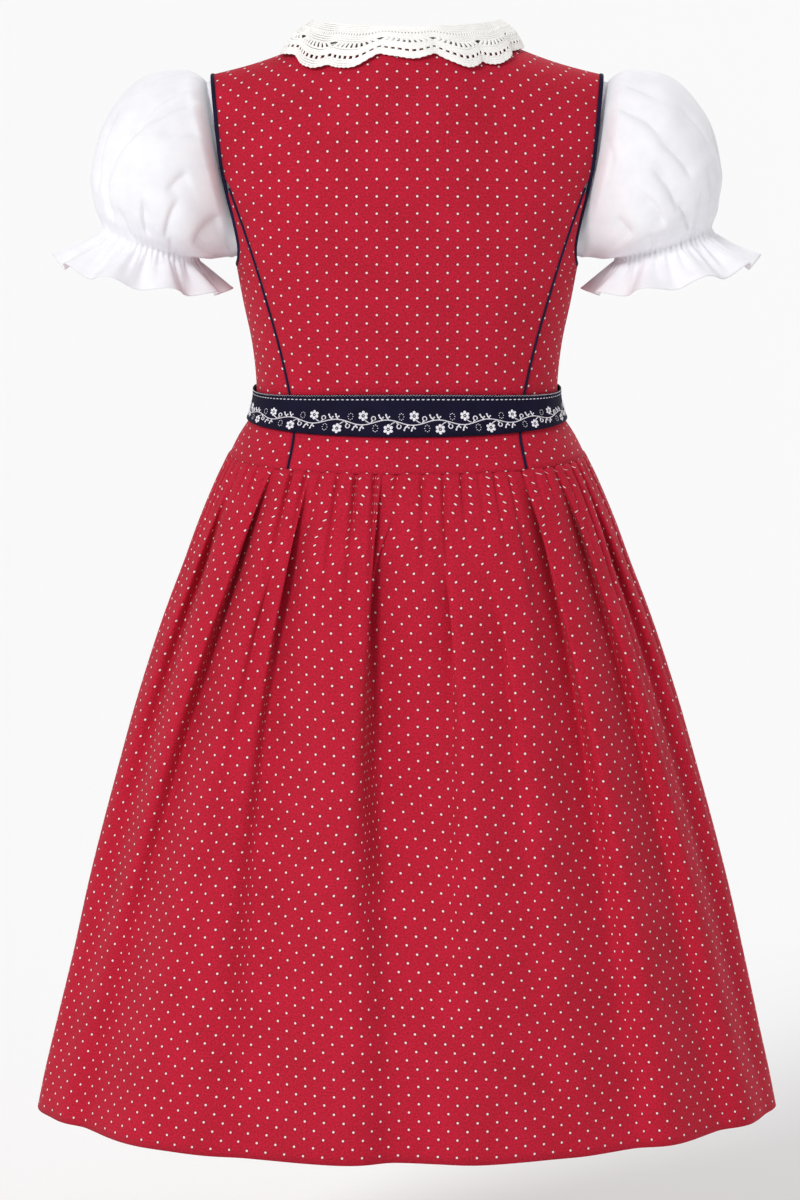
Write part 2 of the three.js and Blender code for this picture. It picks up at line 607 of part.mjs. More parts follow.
// One ring of the left sleeve. Past the cuff the cloth spreads into the frill.
function sleeveRing(t, frill) {
  const at = (column) => read(SLEEVE, "t", t, column);
  const inner = new Point(at("innerX"), 0, at("innerZ"));
  const outer = new Point(at("outerX"), 0, at("outerZ"));
  const middle = inner.clone().add(outer).multiplyScalar(0.5);
  const half = outer.clone().sub(middle);
  const reach = half.length();
  const along = half.clone().normalize();
  const drop = new Point(along.z, 0, -along.x);
  const ring = [];
  for (let k = 0; k < SLEEVE_COLUMNS; k += 1) {
    const turn = (2 * PI * k) / SLEEVE_COLUMNS;
    const wave = FRILL_WAVE * frill * cos(FRILL_WAVES * turn + 0.6 * sin(2 * turn));
    const nearCuff = exp(-abs(t - 0.775) / 0.06) * exp(-frill / 0.35);
    const gather = CUFF_GATHER_DEPTH * nearCuff * cos(CUFF_GATHERS * turn);
    const spread = FRILL_SPREAD * frill ** 1.1 + wave + gather + sleeveCrease(t, turn);
    const p = middle.clone().addScaledVector(along, -cos(turn) * (reach + spread));
    p.y = sin(turn) * (at("deep") + spread);
    p.addScaledVector(drop, FRILL_DROP * frill - wave * 0.7);
    ring.push(p.lerp(blouseArmhole(turn), 1 - ease(t / 0.12)));
  }
  return ring;
}

const PUFF_ROWS = [0, 0.06, 0.14, 0.26, 0.4, 0.54, 0.65, 0.72, 0.76, 0.8];
const FRILL_ROWS = [0.3, 0.65, 1];

function sleeveRows(hand) {
  const rings = [...PUFF_ROWS.map((t) => sleeveRing(t, 0)), ...FRILL_ROWS.map((f) => sleeveRing(FRILL_START, f))];
  return rings.map((ring) => ring.map((p) => new Point(hand * p.x, p.y, p.z)));
}

const fromSleeve = (hand) => (p) => new Point(p.x - hand * 175, p.y, p.z + 95);

// The top of the neckband at each turn round the neck from the left side over the back.
function neckbandTop(turn) {
  const side = sin(turn) >= 0 ? BACK : FRONT;
  const x = NECKBAND_TOP.halfWidth * cos(turn);
  return new Point(x, NECKBAND_TOP[depthColumn(side)] * sin(turn), neckHeight(NECKBAND_TOP, x, side));
}

const NECKBAND_COLUMNS = 30;

function neckbandRows() {
  const bottom = [];
  const top = [];
  for (let k = 0; k < NECKBAND_COLUMNS; k += 1) {
    const turn = (2 * PI * k) / NECKBAND_COLUMNS;
    const side = sin(turn) >= 0 ? BACK : FRONT;
    const x = BLOUSE_NECK.halfWidth * cos(turn);
    const z = neckHeight(BLOUSE_NECK, x, side) + NECKBAND_GAP;
    bottom.push(new Point(x, side * bodyDepth(x, z, side, BLOUSE_INSET), z));
    top.push(neckbandTop(turn));
  }
  return [bottom, top];
}

// A point that lies on the dress, or lift above it, over a place in the plan.
function drapedPoint(x, y, lift) {
  const side = y >= 0 ? BACK : FRONT;
  const height = (u, v) => {
    const across = min(abs(u) / BODY[0].halfWidth, 1) ** BODY[0].square;
    const deep = BODY[0][depthColumn(side)] * (1 - across) ** (1 / BODY[0].square);
    return shoulderLine(u) - SHOULDER_ROUND * (1 - sqrt(max(1 - (v / deep) ** 2, 0)));
  };
  const slopeX = height(x + 0.5, y) - height(x - 0.5, y);
  const slopeY = height(x, y + 0.5) - height(x, y - 0.5);
  const normal = new Point(-slopeX, -slopeY, 1).normalize();
  return new Point(x, y, height(x, y)).addScaledVector(normal, lift);
}

const COLLAR_STEPS_PER_SCALLOP = 4;
const COLLAR_ROWS = [0, 0.3, 0.65, 1];

// The collar's ribs, from its left end in front round the back to its right end.
function collarRows() {
  const columns = SCALLOPS * COLLAR_STEPS_PER_SCALLOP;
  const rows = COLLAR_ROWS.map(() => []);
  for (let k = 0; k <= columns; k += 1) {
    const turn = mix(-PI / 2 + COLLAR_OPENING, (3 * PI) / 2 - COLLAR_OPENING, k / columns);
    const side = sin(turn) >= 0 ? BACK : FRONT;
    const lobe = abs(sin((PI * k) / COLLAR_STEPS_PER_SCALLOP));
    const reach = 1 - (SCALLOP_DEPTH * (1 - lobe)) / COLLAR_EDGE.halfWidth;
    const start = neckbandTop(turn);
    start.z += COLLAR_RAISE;
    const x = COLLAR_EDGE.halfWidth * reach * cos(turn);
    const end = drapedPoint(x, COLLAR_EDGE[depthColumn(side)] * reach * sin(turn), COLLAR_LIFT);
    const arch = new Point(cos(turn), sin(turn), 1.2).normalize();
    COLLAR_ROWS.forEach((share, row) => {
      const p = start.clone().lerp(end, share);
      rows[row].push(p.addScaledVector(arch, COLLAR_ARCH * sin(PI * share)));
    });
  }
  return rows;
}

const fromNeck = (p) => new Point(p.x, p.y, 20);

// The band's edges round the waist. It is deepest in the middle of the back. Its ends lap over in front.
function waistBand() {
  const columns = 50;
  const lap = BAND_LAP / read(BODY, "z", BAND_TOP_Z, "halfWidth");
  const rows = [[], [], []];
  for (let k = 0; k <= columns; k += 1) {
    const turn = mix(-PI / 2 - lap, (3 * PI) / 2 + lap, k / columns);
    const behind = max(sin(turn), 0) ** 2;
    const top = BAND_TOP_Z + BAND_BACK_RISE * behind;
    const bottom = BAND_BOTTOM_Z - BAND_BACK_DROP * behind;
    const over = (BAND_WALL + SEAM_GAP) * ease((turn - 1.45 * PI + 2 * lap) / (2 * lap));
    const lift = BAND_LIFT + over;
    [bottom, (top + bottom) / 2, top].forEach((z, row) => {
      const side = sin(turn) >= 0 ? BACK : FRONT;
      const square = read(BODY, "z", z, "square");
      const halfWidth = read(BODY, "z", z, "halfWidth") + lift;
      const deep = read(BODY, "z", z, depthColumn(side)) + lift;
      const x = halfWidth * sign(cos(turn)) * abs(cos(turn)) ** (2 / square);
      rows[row].push(new Point(x, side * deep * abs(sin(turn)) ** (2 / square), z));
    });
  }
  return rows;
}

function buttonStrip() {
  const heights = [STRIP_BOTTOM_Z, -211, -182, -157, -130, -104, -80, STRIP_TOP_Z];
  const columns = [-1, 0, 1].map((share) => () => share * STRIP_HALF_WIDTH);
  return movedOut(bodyRows({ side: FRONT, columns, heights }), STRIP_LIFT);
}

// A button on the front, with its flat underside lift above the bodice.
function frontButton(z, radius, lift) {
  const { path, ups } = bodyLine(() => 0, [z - 1, z, z + 1], FRONT, lift);
  const profile = [[0, 0], [radius, 0], [radius * 0.8, BUTTON_HEIGHT], [0, BUTTON_HEIGHT]];
  const geometry = new THREE.LatheGeometry(profile.map(([r, h]) => new THREE.Vector2(r, h)), 12);
  geometry.applyQuaternion(new THREE.Quaternion().setFromUnitVectors(new Point(0, 1, 0), ups[1]));
  geometry.translate(path[1].x, path[1].y, path[1].z);
  return geometry;
}

add("skirt_back", wallOf(skirtPanel(BACK), SKIRT_WALL), redCotton);
add("skirt_front", wallOf(skirtPanel(FRONT), SKIRT_WALL), redCotton);
add("bodice_back", wallOf(backPanel(), BODICE_WALL), redCotton);
add("bodice_front_left", wallOf(frontPanel(LEFT), BODICE_WALL), redCotton);
add("bodice_front_right", wallOf(frontPanel(RIGHT), BODICE_WALL), redCotton);
for (const [hand, word] of [[LEFT, "left"], [RIGHT, "right"]]) {
  add(`bodice_side_back_${word}`, wallOf(sidePanel(BACK, hand), BODICE_WALL), redCotton);
  add(`bodice_side_front_${word}`, wallOf(sidePanel(FRONT, hand), BODICE_WALL), redCotton);
  add(`piping_back_${word}`, seamPiping(BACK, hand), navyCloth);
  add(`piping_front_${word}`, seamPiping(FRONT, hand), navyCloth);
  add(`armhole_binding_${word}`, armholeBinding(hand), navyCloth);
}

add("waist_band", wallOf(waistBand(), BAND_WALL), navyCloth);
add("band_button", frontButton((BAND_TOP_Z + BAND_BOTTOM_Z) / 2, 5.5, BAND_LIFT + BAND_WALL + 4 * SEAM_GAP), navyButton);
add("button_strip", wallOf(buttonStrip(), BLOUSE_WALL), redCotton);
for (let k = 0; k < BUTTONS; k += 1) {
  const lift = STRIP_LIFT + 2 * SEAM_GAP;
  add(`button_${k + 1}`, frontButton(BUTTON_TOP_Z - k * BUTTON_PITCH, BUTTON_RADIUS, lift), navyButton);
}
add("blouse_back", wallOf(blousePanel(BACK), BLOUSE_WALL), whiteCotton);
add("blouse_front", wallOf(blousePanel(FRONT), BLOUSE_WALL), whiteCotton);
add("blouse_neckband", wallOf(neckbandRows(), BLOUSE_WALL, { closed: true }), whiteCotton);
for (const [hand, word] of [[LEFT, "left"], [RIGHT, "right"]]) {
  const options = { closed: true, outward: fromSleeve(hand) };
  add(`sleeve_${word}`, wallOf(sleeveRows(hand), BLOUSE_WALL, options), whiteCotton);
}
add("lace_collar", wallOf(collarRows(), LACE_WALL, { outward: fromNeck }), whiteLace);

export default dirndl;
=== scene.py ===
# %% [markdown]
# # A girl's dirndl, worn but with nobody in it
# The real thing is two garments: a sleeveless dress of red dotted cotton and a short white blouse under
# it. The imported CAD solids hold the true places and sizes. This script lays a thin piece of cloth over
# each of them, with the creases, the gathers, the lace and the woven flowers that thick solids leave
# out.
#
# Lengths are in millimetres, as on a sewing pattern, and become metres where a mesh is made. The front
# of the dress faces -Y and its left side is +X.

# %% Load the fixed frame
import math

import bpy
import numpy as np
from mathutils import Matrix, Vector


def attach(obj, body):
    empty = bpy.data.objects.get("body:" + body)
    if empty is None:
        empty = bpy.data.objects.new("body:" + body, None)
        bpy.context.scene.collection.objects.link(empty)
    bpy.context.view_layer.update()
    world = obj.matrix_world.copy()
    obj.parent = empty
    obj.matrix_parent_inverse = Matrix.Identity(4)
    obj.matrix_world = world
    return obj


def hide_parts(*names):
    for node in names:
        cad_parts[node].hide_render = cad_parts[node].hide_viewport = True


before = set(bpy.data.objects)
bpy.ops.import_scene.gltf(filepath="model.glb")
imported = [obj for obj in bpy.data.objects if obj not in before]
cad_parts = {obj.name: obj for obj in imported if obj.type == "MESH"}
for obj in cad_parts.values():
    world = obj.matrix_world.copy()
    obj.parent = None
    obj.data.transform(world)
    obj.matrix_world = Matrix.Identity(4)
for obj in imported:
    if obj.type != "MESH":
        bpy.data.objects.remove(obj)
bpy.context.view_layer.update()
MM = 0.001
BACK = 1
FRONT = -1

# %% [markdown]
# ## The camera
# The photo was taken from behind, a little above the waist, with a long lens from far away. A camera
# five metres off, ten degrees above the horizontal, gives the hem the same flat curve as in the photo.
# Such a distance needs a long focal length, which keeps near and far parts at almost the same scale.

# %% Camera
CAMERA_DISTANCE = 5.0
CAMERA_PITCH = math.radians(10)
FOCAL_LENGTH_MM = 208.3
LOOK_AT = (0.005, 0.0, -0.400)
camera_data = bpy.data.cameras.new("camera")
camera_data.lens = FOCAL_LENGTH_MM
camera = bpy.data.objects.new("camera", camera_data)
bpy.context.collection.objects.link(camera)
camera.location = (
    LOOK_AT[0],
    LOOK_AT[1] + CAMERA_DISTANCE * math.cos(CAMERA_PITCH),
    LOOK_AT[2] + CAMERA_DISTANCE * math.sin(CAMERA_PITCH),
)
camera.rotation_euler = (math.radians(90) - CAMERA_PITCH, 0, math.radians(180))
bpy.context.scene.camera = camera
print("camera at", [round(value, 3) for value in camera.location])

# %% [markdown]
# ## Light and floor
# A white room of soft light, as for a catalogue picture. The camera sees pure white, but the room lights
# the dress more weakly, so that one large light above and to the left of the camera can draw the folds.
# The wearer would hold the dress up, so the floor lies below the hem and the dress doesn't touch it.

# %% Studio
FLOOR_Z = -0.96
FLOOR_WIDTH = 60
ROOM_LIGHT = 0.54
world = bpy.data.worlds.new("white_room")
bpy.context.scene.world = world
world.use_nodes = True
room = world.node_tree
background = room.nodes["Background"]
background.inputs["Color"].default_value = (1, 1, 1, 1)
seen_directly = room.nodes.new("ShaderNodeLightPath").outputs["Is Camera Ray"]
strength = room.nodes.new("ShaderNodeMapRange")
strength.inputs["To Min"].default_value = ROOM_LIGHT
strength.inputs["To Max"].default_value = 1.0
room.links.new(seen_directly, strength.inputs["Value"])
room.links.new(strength.outputs[0], background.inputs["Strength"])
bpy.context.scene.view_settings.view_transform = "Standard"


def broad_light(name, from_direction, strength, softness):
    """A wide distant light. softness is the angle that it seems to fill, in degrees."""
    light = bpy.data.objects.new(name, bpy.data.lights.new(name, "SUN"))
    light.data.energy = strength
    light.data.angle = math.radians(softness)
    light.rotation_euler = Vector(from_direction).to_track_quat("Z", "Y").to_euler()
    bpy.context.collection.objects.link(light)


broad_light("light_above_left", from_direction=(0.6, 1.0, 0.85), strength=1.52, softness=18)
broad_light("light_front", from_direction=(-0.4, -1.0, 0.7), strength=1.1, softness=40)
bpy.ops.mesh.primitive_plane_add(size=FLOOR_WIDTH, location=(0, 0, FLOOR_Z))
floor = bpy.context.object
floor.name = "floor"
print("floor at", FLOOR_Z)

# %% [markdown]
# ## A short way to write materials
# Every finish here is a Principled shader fed by a few nodes. One small function makes a node, sets it
# up and plugs in its inputs, so that each material below reads as a list of steps.

# %% Node helper
CLOTH_SHINE = 0.15
FLOOR_WHITE = (0.93, 0.93, 0.93)


def linear(red, green, blue):
    """A colour picked as 0 to 255 in a paint program, as the linear values that a shader takes."""
    shares = [value / 255 for value in (red, green, blue)]
    return tuple(s / 12.92 if s <= 0.04045 else ((s + 0.055) / 1.055) ** 2.4 for s in shares)


def new_material(name, colour, roughness, sheen=0.0):
    material = bpy.data.materials.new(name)
    material.use_nodes = True
    shader = material.node_tree.nodes["Principled BSDF"]
    shader.inputs["Base Color"].default_value = (*colour, 1)
    shader.inputs["Roughness"].default_value = roughness
    shader.inputs["Sheen Weight"].default_value = sheen
    shader.inputs["Specular IOR Level"].default_value = CLOTH_SHINE
    return material


def node(material, kind, inputs, **settings):
    """A new node. inputs maps an input's name or number to a value or to another node's output."""
    tree = material.node_tree
    made = tree.nodes.new("ShaderNode" + kind)
    for key, value in settings.items():
        setattr(made, key, value)
    for key, value in inputs.items():
        if isinstance(value, bpy.types.NodeSocket):
            tree.links.new(value, made.inputs[key])
        else:
            made.inputs[key].default_value = value
    return made


def plug(material, key, socket):
    shader = material.node_tree.nodes["Principled BSDF"]
    material.node_tree.links.new(socket, shader.inputs[key])


floor_paint = new_material("white_floor", FLOOR_WHITE, roughness=0.9)
floor.data.materials.append(floor_paint)
print("node helper ready")

# %% [markdown]
# ## Red cotton with white dots
# The cloth is a plain weave with small round dots in staggered rows, printed or woven so that they
# follow the thread. Each piece of cloth carries a second set of coordinates, called "cloth": the place
# of each point on the flat cut piece, in millimetres. The dots are drawn in those, so they crowd
# together where the skirt is gathered, as real dots do. Two sets of dots, half a step apart, make the
# stagger.

# %% Red dotted cotton
DOT_STEP_ACROSS = 14.2
DOT_STEP_DOWN = 12.4
DOT_RADIUS = 0.8
DOT_EDGE = 0.22
DOT_RAISED = 0.8
# The next three sizes and the darker red below draw painted shade: a thin darker ring round each dot,
# standing in for the shadow at a dot's edge.
SHADE_RING_START = 0.35
SHADE_RING_END = 1.1
SHADE_RING_STRENGTH = 0.7
THREADS_PER_MM = 2.6
PATCHES_PER_MM = 0.03
GRAINS_PER_MM = 0.8
PATCH_SHARE = 0.2
MIDDLE_RED = linear(188, 30, 52)
DARK_RED = linear(160, 22, 38)
LIGHT_RED = linear(204, 28, 60)
PAINTED_SHADE_RED = linear(138, 20, 36)
DOT_WHITE = linear(246, 226, 226)


def distance_to_dots(material, cloth, shift):
    """How far each point is from the nearest dot of one set, in millimetres of flat cloth."""
    steps = [
        ("MULTIPLY", (1 / DOT_STEP_ACROSS, 1 / DOT_STEP_DOWN, 0)),
        ("ADD", (shift, shift, 0)),
        ("FRACTION", (0, 0, 0)),
        ("ADD", (-0.5, -0.5, 0)),
        ("MULTIPLY", (DOT_STEP_ACROSS, DOT_STEP_DOWN, 0)),
    ]
    place = cloth
    for operation, amount in steps:
        place = node(material, "VectorMath", {0: place, 1: amount}, operation=operation).outputs[0]
    return node(material, "VectorMath", {0: place}, operation="LENGTH").outputs["Value"]


def soft_step(material, value, start, end, strength):
    """The strength up to the start, and then a soft fall to nothing at the end."""
    inputs = {"Value": value, "From Min": start, "From Max": end, "To Min": strength, "To Max": 0.0}
    return node(material, "MapRange", inputs, interpolation_type="SMOOTHSTEP").outputs[0]


def noise(material, where, scale, detail):
    return node(material, "TexNoise", {"Vector": where, "Scale": scale, "Detail": detail}).outputs["Fac"]


def two_tones(material, value, dark, light):
    """A colour that goes from dark to light as the value rises. Each of them is a value and its colour."""
    ramp = node(material, "ValToRGB", {"Fac": value})
    for stop, (place, colour) in zip(ramp.color_ramp.elements, (dark, light)):
        stop.position = place
        stop.color = (*colour, 1)
    return ramp.outputs["Color"]


def painted_over(material, share, under, colour):
    """The colour under, covered by another one as far as the share says."""
    mixed = node(material, "Mix", {"Factor": share, 6: under, 7: (*colour, 1)}, data_type="RGBA")
    return mixed.outputs[2]


def weave_height(material, where):
    """The relief of a plain weave: two sets of fine waves that cross."""
    threads = (THREADS_PER_MM,) * 3
    scaled = node(material, "VectorMath", {0: where, 1: threads}, operation="MULTIPLY").outputs[0]
    warp, weft = (
        node(material, "TexWave", {"Vector": scaled, "Scale": 0.5}, bands_direction=way).outputs["Fac"]
        for way in ("X", "Y")
    )
    return node(material, "Math", {0: warp, 1: weft}, operation="MULTIPLY").outputs[0]


def sum_of(material, value, factor, added):
    """The value times the factor, and the other value added to it."""
    return node(material, "Math", {0: value, 1: factor, 2: added}, operation="MULTIPLY_ADD").outputs[0]


def add_bump(material, height, strength, depth_mm):
    bump = node(material, "Bump", {"Height": height, "Strength": strength, "Distance": depth_mm * MM})
    plug(material, "Normal", bump.outputs["Normal"])


def dotted_cotton():
    material = new_material("red_dotted_cotton", MIDDLE_RED, roughness=0.82, sheen=0.03)
    cloth = node(material, "UVMap", {}, uv_map="cloth").outputs["UV"]
    first, second = (distance_to_dots(material, cloth, shift) for shift in (0.0, 0.5))
    nearest = node(material, "Math", {0: first, 1: second}, operation="MINIMUM").outputs[0]
    dot = soft_step(material, nearest, DOT_RADIUS - DOT_EDGE, DOT_RADIUS + DOT_EDGE, 1.0)
    # rim is painted shade: a darker ring just outside each dot.
    rim = soft_step(material, nearest, DOT_RADIUS + SHADE_RING_START, DOT_RADIUS + SHADE_RING_END, SHADE_RING_STRENGTH)
    patches = noise(material, cloth, PATCHES_PER_MM, detail=3.0)
    grains = noise(material, cloth, GRAINS_PER_MM, detail=3.0)
    shade = sum_of(material, patches, PATCH_SHARE, grains)
    red = two_tones(material, shade, (0.44, DARK_RED), (0.78, LIGHT_RED))
    # The painted shade round each dot goes over the red, and the white dot over both.
    red = painted_over(material, rim, red, PAINTED_SHADE_RED)
    plug(material, "Base Color", painted_over(material, dot, red, DOT_WHITE))
    raised = sum_of(material, dot, DOT_RAISED, weave_height(material, cloth))
    add_bump(material, raised, strength=0.35, depth_mm=0.12)
    return material


RED_COTTON = dotted_cotton()
print("red cotton: a dot every", DOT_STEP_ACROSS, "by", DOT_STEP_DOWN / 2, "mm")

# %% [markdown]
# ## White cotton, navy cloth and thread
# The blouse is a thin plain white cotton. The piping, the bindings and the band are a dull dark blue.
# Lace and flowers are twisted thread. All show a soft uneven relief, and only the buttons are smooth and
# a little shiny.

# %% The other finishes
PLAIN_FINISHES = [
    # name, colour and darker colour as 0 to 255, roughness, grains a millimetre, sheen
    ("white_cotton", (245, 244, 248), (238, 238, 243), 0.85, 2.2, 0.02),
    ("white_lace_thread", (254, 253, 251), (247, 245, 241), 0.9, 1.6, 0.02),
    ("white_flower_thread", (244, 242, 246), (226, 224, 232), 0.7, 2.0, 0.0),
    ("navy_cloth", (27, 23, 56), (18, 16, 40), 0.8, 2.4, 0.02),
    ("navy_woven_band", (19, 14, 44), (11, 9, 31), 0.8, 3.0, 0.0),
    ("navy_button", (32, 32, 66), (26, 26, 56), 0.35, 0.4, 0.0),
]
PLAIN_PATCHES_PER_MM = 0.08


def plain_finish(name, colour, darker, roughness, grains_per_mm, sheen):
    """One colour, darker in soft patches, with the fine grain of threads as relief."""
    material = new_material(name, linear(*colour), roughness, sheen)
    where = node(material, "TexCoord", {}).outputs["Object"]
    in_mm = node(material, "VectorMath", {0: where, 1: (1 / MM,) * 3}, operation="MULTIPLY").outputs[0]
    patches = noise(material, in_mm, PLAIN_PATCHES_PER_MM, detail=4.0)
    tones = two_tones(material, patches, (0.3, linear(*darker)), (0.7, linear(*colour)))
    plug(material, "Base Color", tones)
    add_bump(material, noise(material, in_mm, grains_per_mm, detail=2.0), strength=0.3, depth_mm=0.15)
    return material


WHITE_COTTON, WHITE_THREAD, FLOWER_THREAD, NAVY_CLOTH, NAVY_BAND, NAVY_BUTTON = (
    plain_finish(*finish) for finish in PLAIN_FINISHES
)
print(len(PLAIN_FINISHES), "more finishes ready")

# %% [markdown]
# ## The figure's form as tables
# A dressmaker measures a figure at a few heights. These tables are such measurements: half widths and
# depths of the dress from the shoulders to the hem. Between the rows a smooth curve is drawn through
# them, so the cloth has no kinks. They are the same rows that the solids were made from, because the
# cloth has to lie on them.

# %% Sizes of the dress
BODY = dict(
    z=[35, -20, -60, -100, -130, -157, -182, -211, -240, -254, -267, -280, -293, -312, -342, -371, -400,
       -429, -473, -517, -562, -606, -651, -695, -740, -770],
    half_width=[152, 150, 145, 133.5, 126, 121.5, 117, 111, 107.8, 108.4, 112.4, 120.5, 127, 136.5,
                149.5, 160.5, 172, 182.5, 197, 210, 223, 235, 246, 256.5, 266.5, 272],
    back=[86, 86, 87, 88, 88, 87, 85, 81, 77.5, 79, 84, 92, 100, 108, 118, 126, 133, 140, 149, 158, 166,
          174, 181, 187, 193, 196],
    front=[80, 80, 82, 85, 86, 85, 82, 78, 74.5, 75.5, 79.5, 87, 94, 102, 112, 120, 127, 134, 143, 152,
           160, 167, 174, 180, 186, 189],
    square=[2.8, 2.8, 2.8, 2.8, 2.75, 2.6, 2.45, 2.35, 2.3, 2.3, 2.3, 2.3, 2.3, 2.25, 2.2, 2.16, 2.13,
            2.1, 2.07, 2.05, 2.03, 2.02, 2, 2, 2, 2],
)
ARMHOLE = dict(
    z=[-20.5, -40, -60, -80, -100, -120, -137, -147, -153, -157],
    back=[137, 135, 133, 130.8, 127, 122, 118.8, 119, 120.2, 121.5],
    front=[137, 133.5, 130.5, 127.8, 124, 119.5, 117, 117.8, 119.6, 121.5],
)
PIPED_SEAM = dict(
    z=[-93, -123, -150, -177, -206, -240, -268, -293],
    back=[127, 116, 107, 99, 91, 83.5, 80, 84.5],
    front=[125, 110, 99, 90, 82, 75, 73, 77],
)
NECK = dict(half_width=70, back=4.0, side=1.5, front=-42.0)
NECK_CURVE = {BACK: 2, FRONT: 0.62}
SHOULDER_HALF = 137
SHOULDER_TIP_Z = -20.5
SHOULDER_SAG = 2
SHOULDER_ROUND = 140
NECK_RISE = 33.5
NECK_RISE_CURVE = 1.7
SEAM_TOP_Z = -93
SIDE_TOP_Z = -101
UNDERARM_Z = -157
YOKE_Z = -292.5
HEM_Z = -770
DEPTH = {BACK: "back", FRONT: "front"}


def read(table, at, column, key="z"):
    """A column of a table at any place between its rows, along a smooth curve through them."""
    places = np.array(table[key], float)
    values = np.array(table[column], float)
    if places[0] > places[-1]:
        places, values = places[::-1], values[::-1]
    slopes = np.empty_like(values)
    slopes[1:-1] = (values[2:] - values[:-2]) / (places[2:] - places[:-2])
    slopes[0] = (values[1] - values[0]) / (places[1] - places[0])
    slopes[-1] = (values[-1] - values[-2]) / (places[-1] - places[-2])
    at = np.clip(at, places[0], places[-1])
    i = np.clip(np.searchsorted(places, at) - 1, 0, len(places) - 2)
    span = places[i + 1] - places[i]
    t = (at - places[i]) / span
    return (
        (1 + 2 * t) * (1 - t) ** 2 * values[i] + t * (1 - t) ** 2 * span * slopes[i]
        + t * t * (3 - 2 * t) * values[i + 1] + t * t * (t - 1) * span * slopes[i + 1]
    )


def ease(share):
    t = np.clip(share, 0, 1)
    return t * t * (3 - 2 * t)


def mix(a, b, share):
    return a + (b - a) * share


print("the waist's half width:", round(float(read(BODY, -240, "half_width")), 1), "mm")

# %% [markdown]
# ## The surface that the cloth lies on
# Each height has a rounded section, a little squarer than an ellipse. Towards the shoulders the front
# and the back lean together like the two sides of a roof with a round ridge. `body_point` gives the
# place on that surface for a distance from the middle and a height.

# %% Body surface
def by_side(turn, measure):
    """measure(BACK) where the turn lies behind and measure(FRONT) where it lies in front."""
    return np.where(np.sin(turn) >= 0, measure(BACK), measure(FRONT))


def section(turn, half_width, deep, square):
    """How far to the left and how deep the rounded section is, at a turn from the left side over the back."""
    x = half_width * np.sign(np.cos(turn)) * np.abs(np.cos(turn)) ** (2 / square)
    return x, deep * np.abs(np.sin(turn)) ** (2 / square)


def shoulder_line(x):
    """The height of the shoulders' ridge. Over the neck it goes on as a low arch."""
    out = np.abs(x)
    across = np.clip(out / NECK["half_width"], 0, 1)
    over_neck = NECK["side"] + NECK_RISE * (1 - across ** 2) ** NECK_RISE_CURVE
    share = (out - NECK["half_width"]) / (SHOULDER_HALF - NECK["half_width"])
    sag = SHOULDER_SAG * np.sin(math.pi * np.clip(share, 0, 1))
    over_shoulder = mix(NECK["side"], SHOULDER_TIP_Z, share) - sag
    return np.where(out < NECK["half_width"], over_neck, over_shoulder)


def body_depth(x, z, side, inset=0.0):
    """How deep the body is. inset is how far inside the dress the surface lies, as the blouse does."""
    square = read(BODY, z, "square")
    across = np.clip(np.abs(x) / (read(BODY, z, "half_width") - inset), 0, 1)
    below = np.clip((shoulder_line(x) - inset - z) / SHOULDER_ROUND, 0, 1)
    deep = (read(BODY, z, DEPTH[side]) - inset) * (1 - across ** square) ** (1 / square)
    return deep * np.sqrt(1 - (1 - below) ** 2)


def body_point(x, z, side, inset=0.0):
    x, z = np.broadcast_arrays(np.asarray(x, float), np.asarray(z, float))
    return np.stack([x, side * body_depth(x, z, side, inset), z], axis=-1)


def neck_height(neck, x, side):
    across = np.clip(np.abs(x) / neck["half_width"], 0, 1)
    if side == BACK:
        return mix(neck["back"], neck["side"], across ** NECK_CURVE[BACK])
    return mix(neck["side"], neck["front"], (1 - across ** 2) ** NECK_CURVE[FRONT])


def top_edge(neck, x, side, inset=0.0):
    return np.where(np.abs(x) < neck["half_width"], neck_height(neck, x, side), shoulder_line(x) - inset)


print("middle of the back at the waist:", np.round(body_point(0, -240, BACK), 1))

# %% [markdown]
# ## From rows of points to a piece of cloth
# Every piece is a net of rows and columns. `cloth_piece` turns such a net into a mesh, gives each point
# its place on the flat cut piece, and lets the Solidify modifier give it the thickness of cloth. The
# flat places are found by walking along the rows and columns, as a tape measure would.

# %% Cloth helper
CLOTH_THICK = 0.5
LEVELLED = 0.7


def walk(points, axis):
    """Distance walked along a net's rows (axis 1) or columns (axis 0) from its first point."""
    steps = np.linalg.norm(np.diff(points, axis=axis), axis=2)
    start = np.zeros_like(np.take(steps, [0], axis=axis))
    return np.cumsum(np.concatenate([start, steps], axis=axis), axis=axis)


def flat_places(points, middle=0.5):
    """Each point's place on the flat piece: across from the line at the share middle, and up from below.

    The rows are partly levelled, because the cloth's threads stay nearly straight.
    """
    across = walk(points, 1)
    across = across - across[:, -1:] * middle
    up = walk(points, 0)
    up = up.mean(axis=1, keepdims=True) * LEVELLED + up * (1 - LEVELLED)
    return np.stack([across, up], axis=-1)


def mesh_object(name, points, faces, material):
    mesh = bpy.data.meshes.new(name)
    mesh.from_pydata((np.asarray(points) * MM).tolist(), [], faces)
    mesh.materials.append(material)
    mesh.shade_smooth()
    piece = bpy.data.objects.new(name, mesh)
    bpy.context.collection.objects.link(piece)
    return piece


def net_faces(rows, columns, closed):
    faces = []
    for row in range(rows - 1):
        low, high = row * columns, (row + 1) * columns
        for here in range(columns if closed else columns - 1):
            there = (here + 1) % columns
            faces.append((low + here, low + there, high + there, high + here))
    return faces


def faces_outward(points, faces, centre):
    """The faces, turned round if most look at the centre. With no centre, the upright middle line counts."""
    corners = points[np.array(faces)]
    normals = np.cross(corners[:, 2] - corners[:, 0], corners[:, 3] - corners[:, 1])
    outward = corners.mean(axis=1)
    if centre is None:
        outward[:, 2] = 0
    else:
        outward = outward - np.array(centre)
    return faces if (normals * outward).sum() > 0 else [face[::-1] for face in faces]


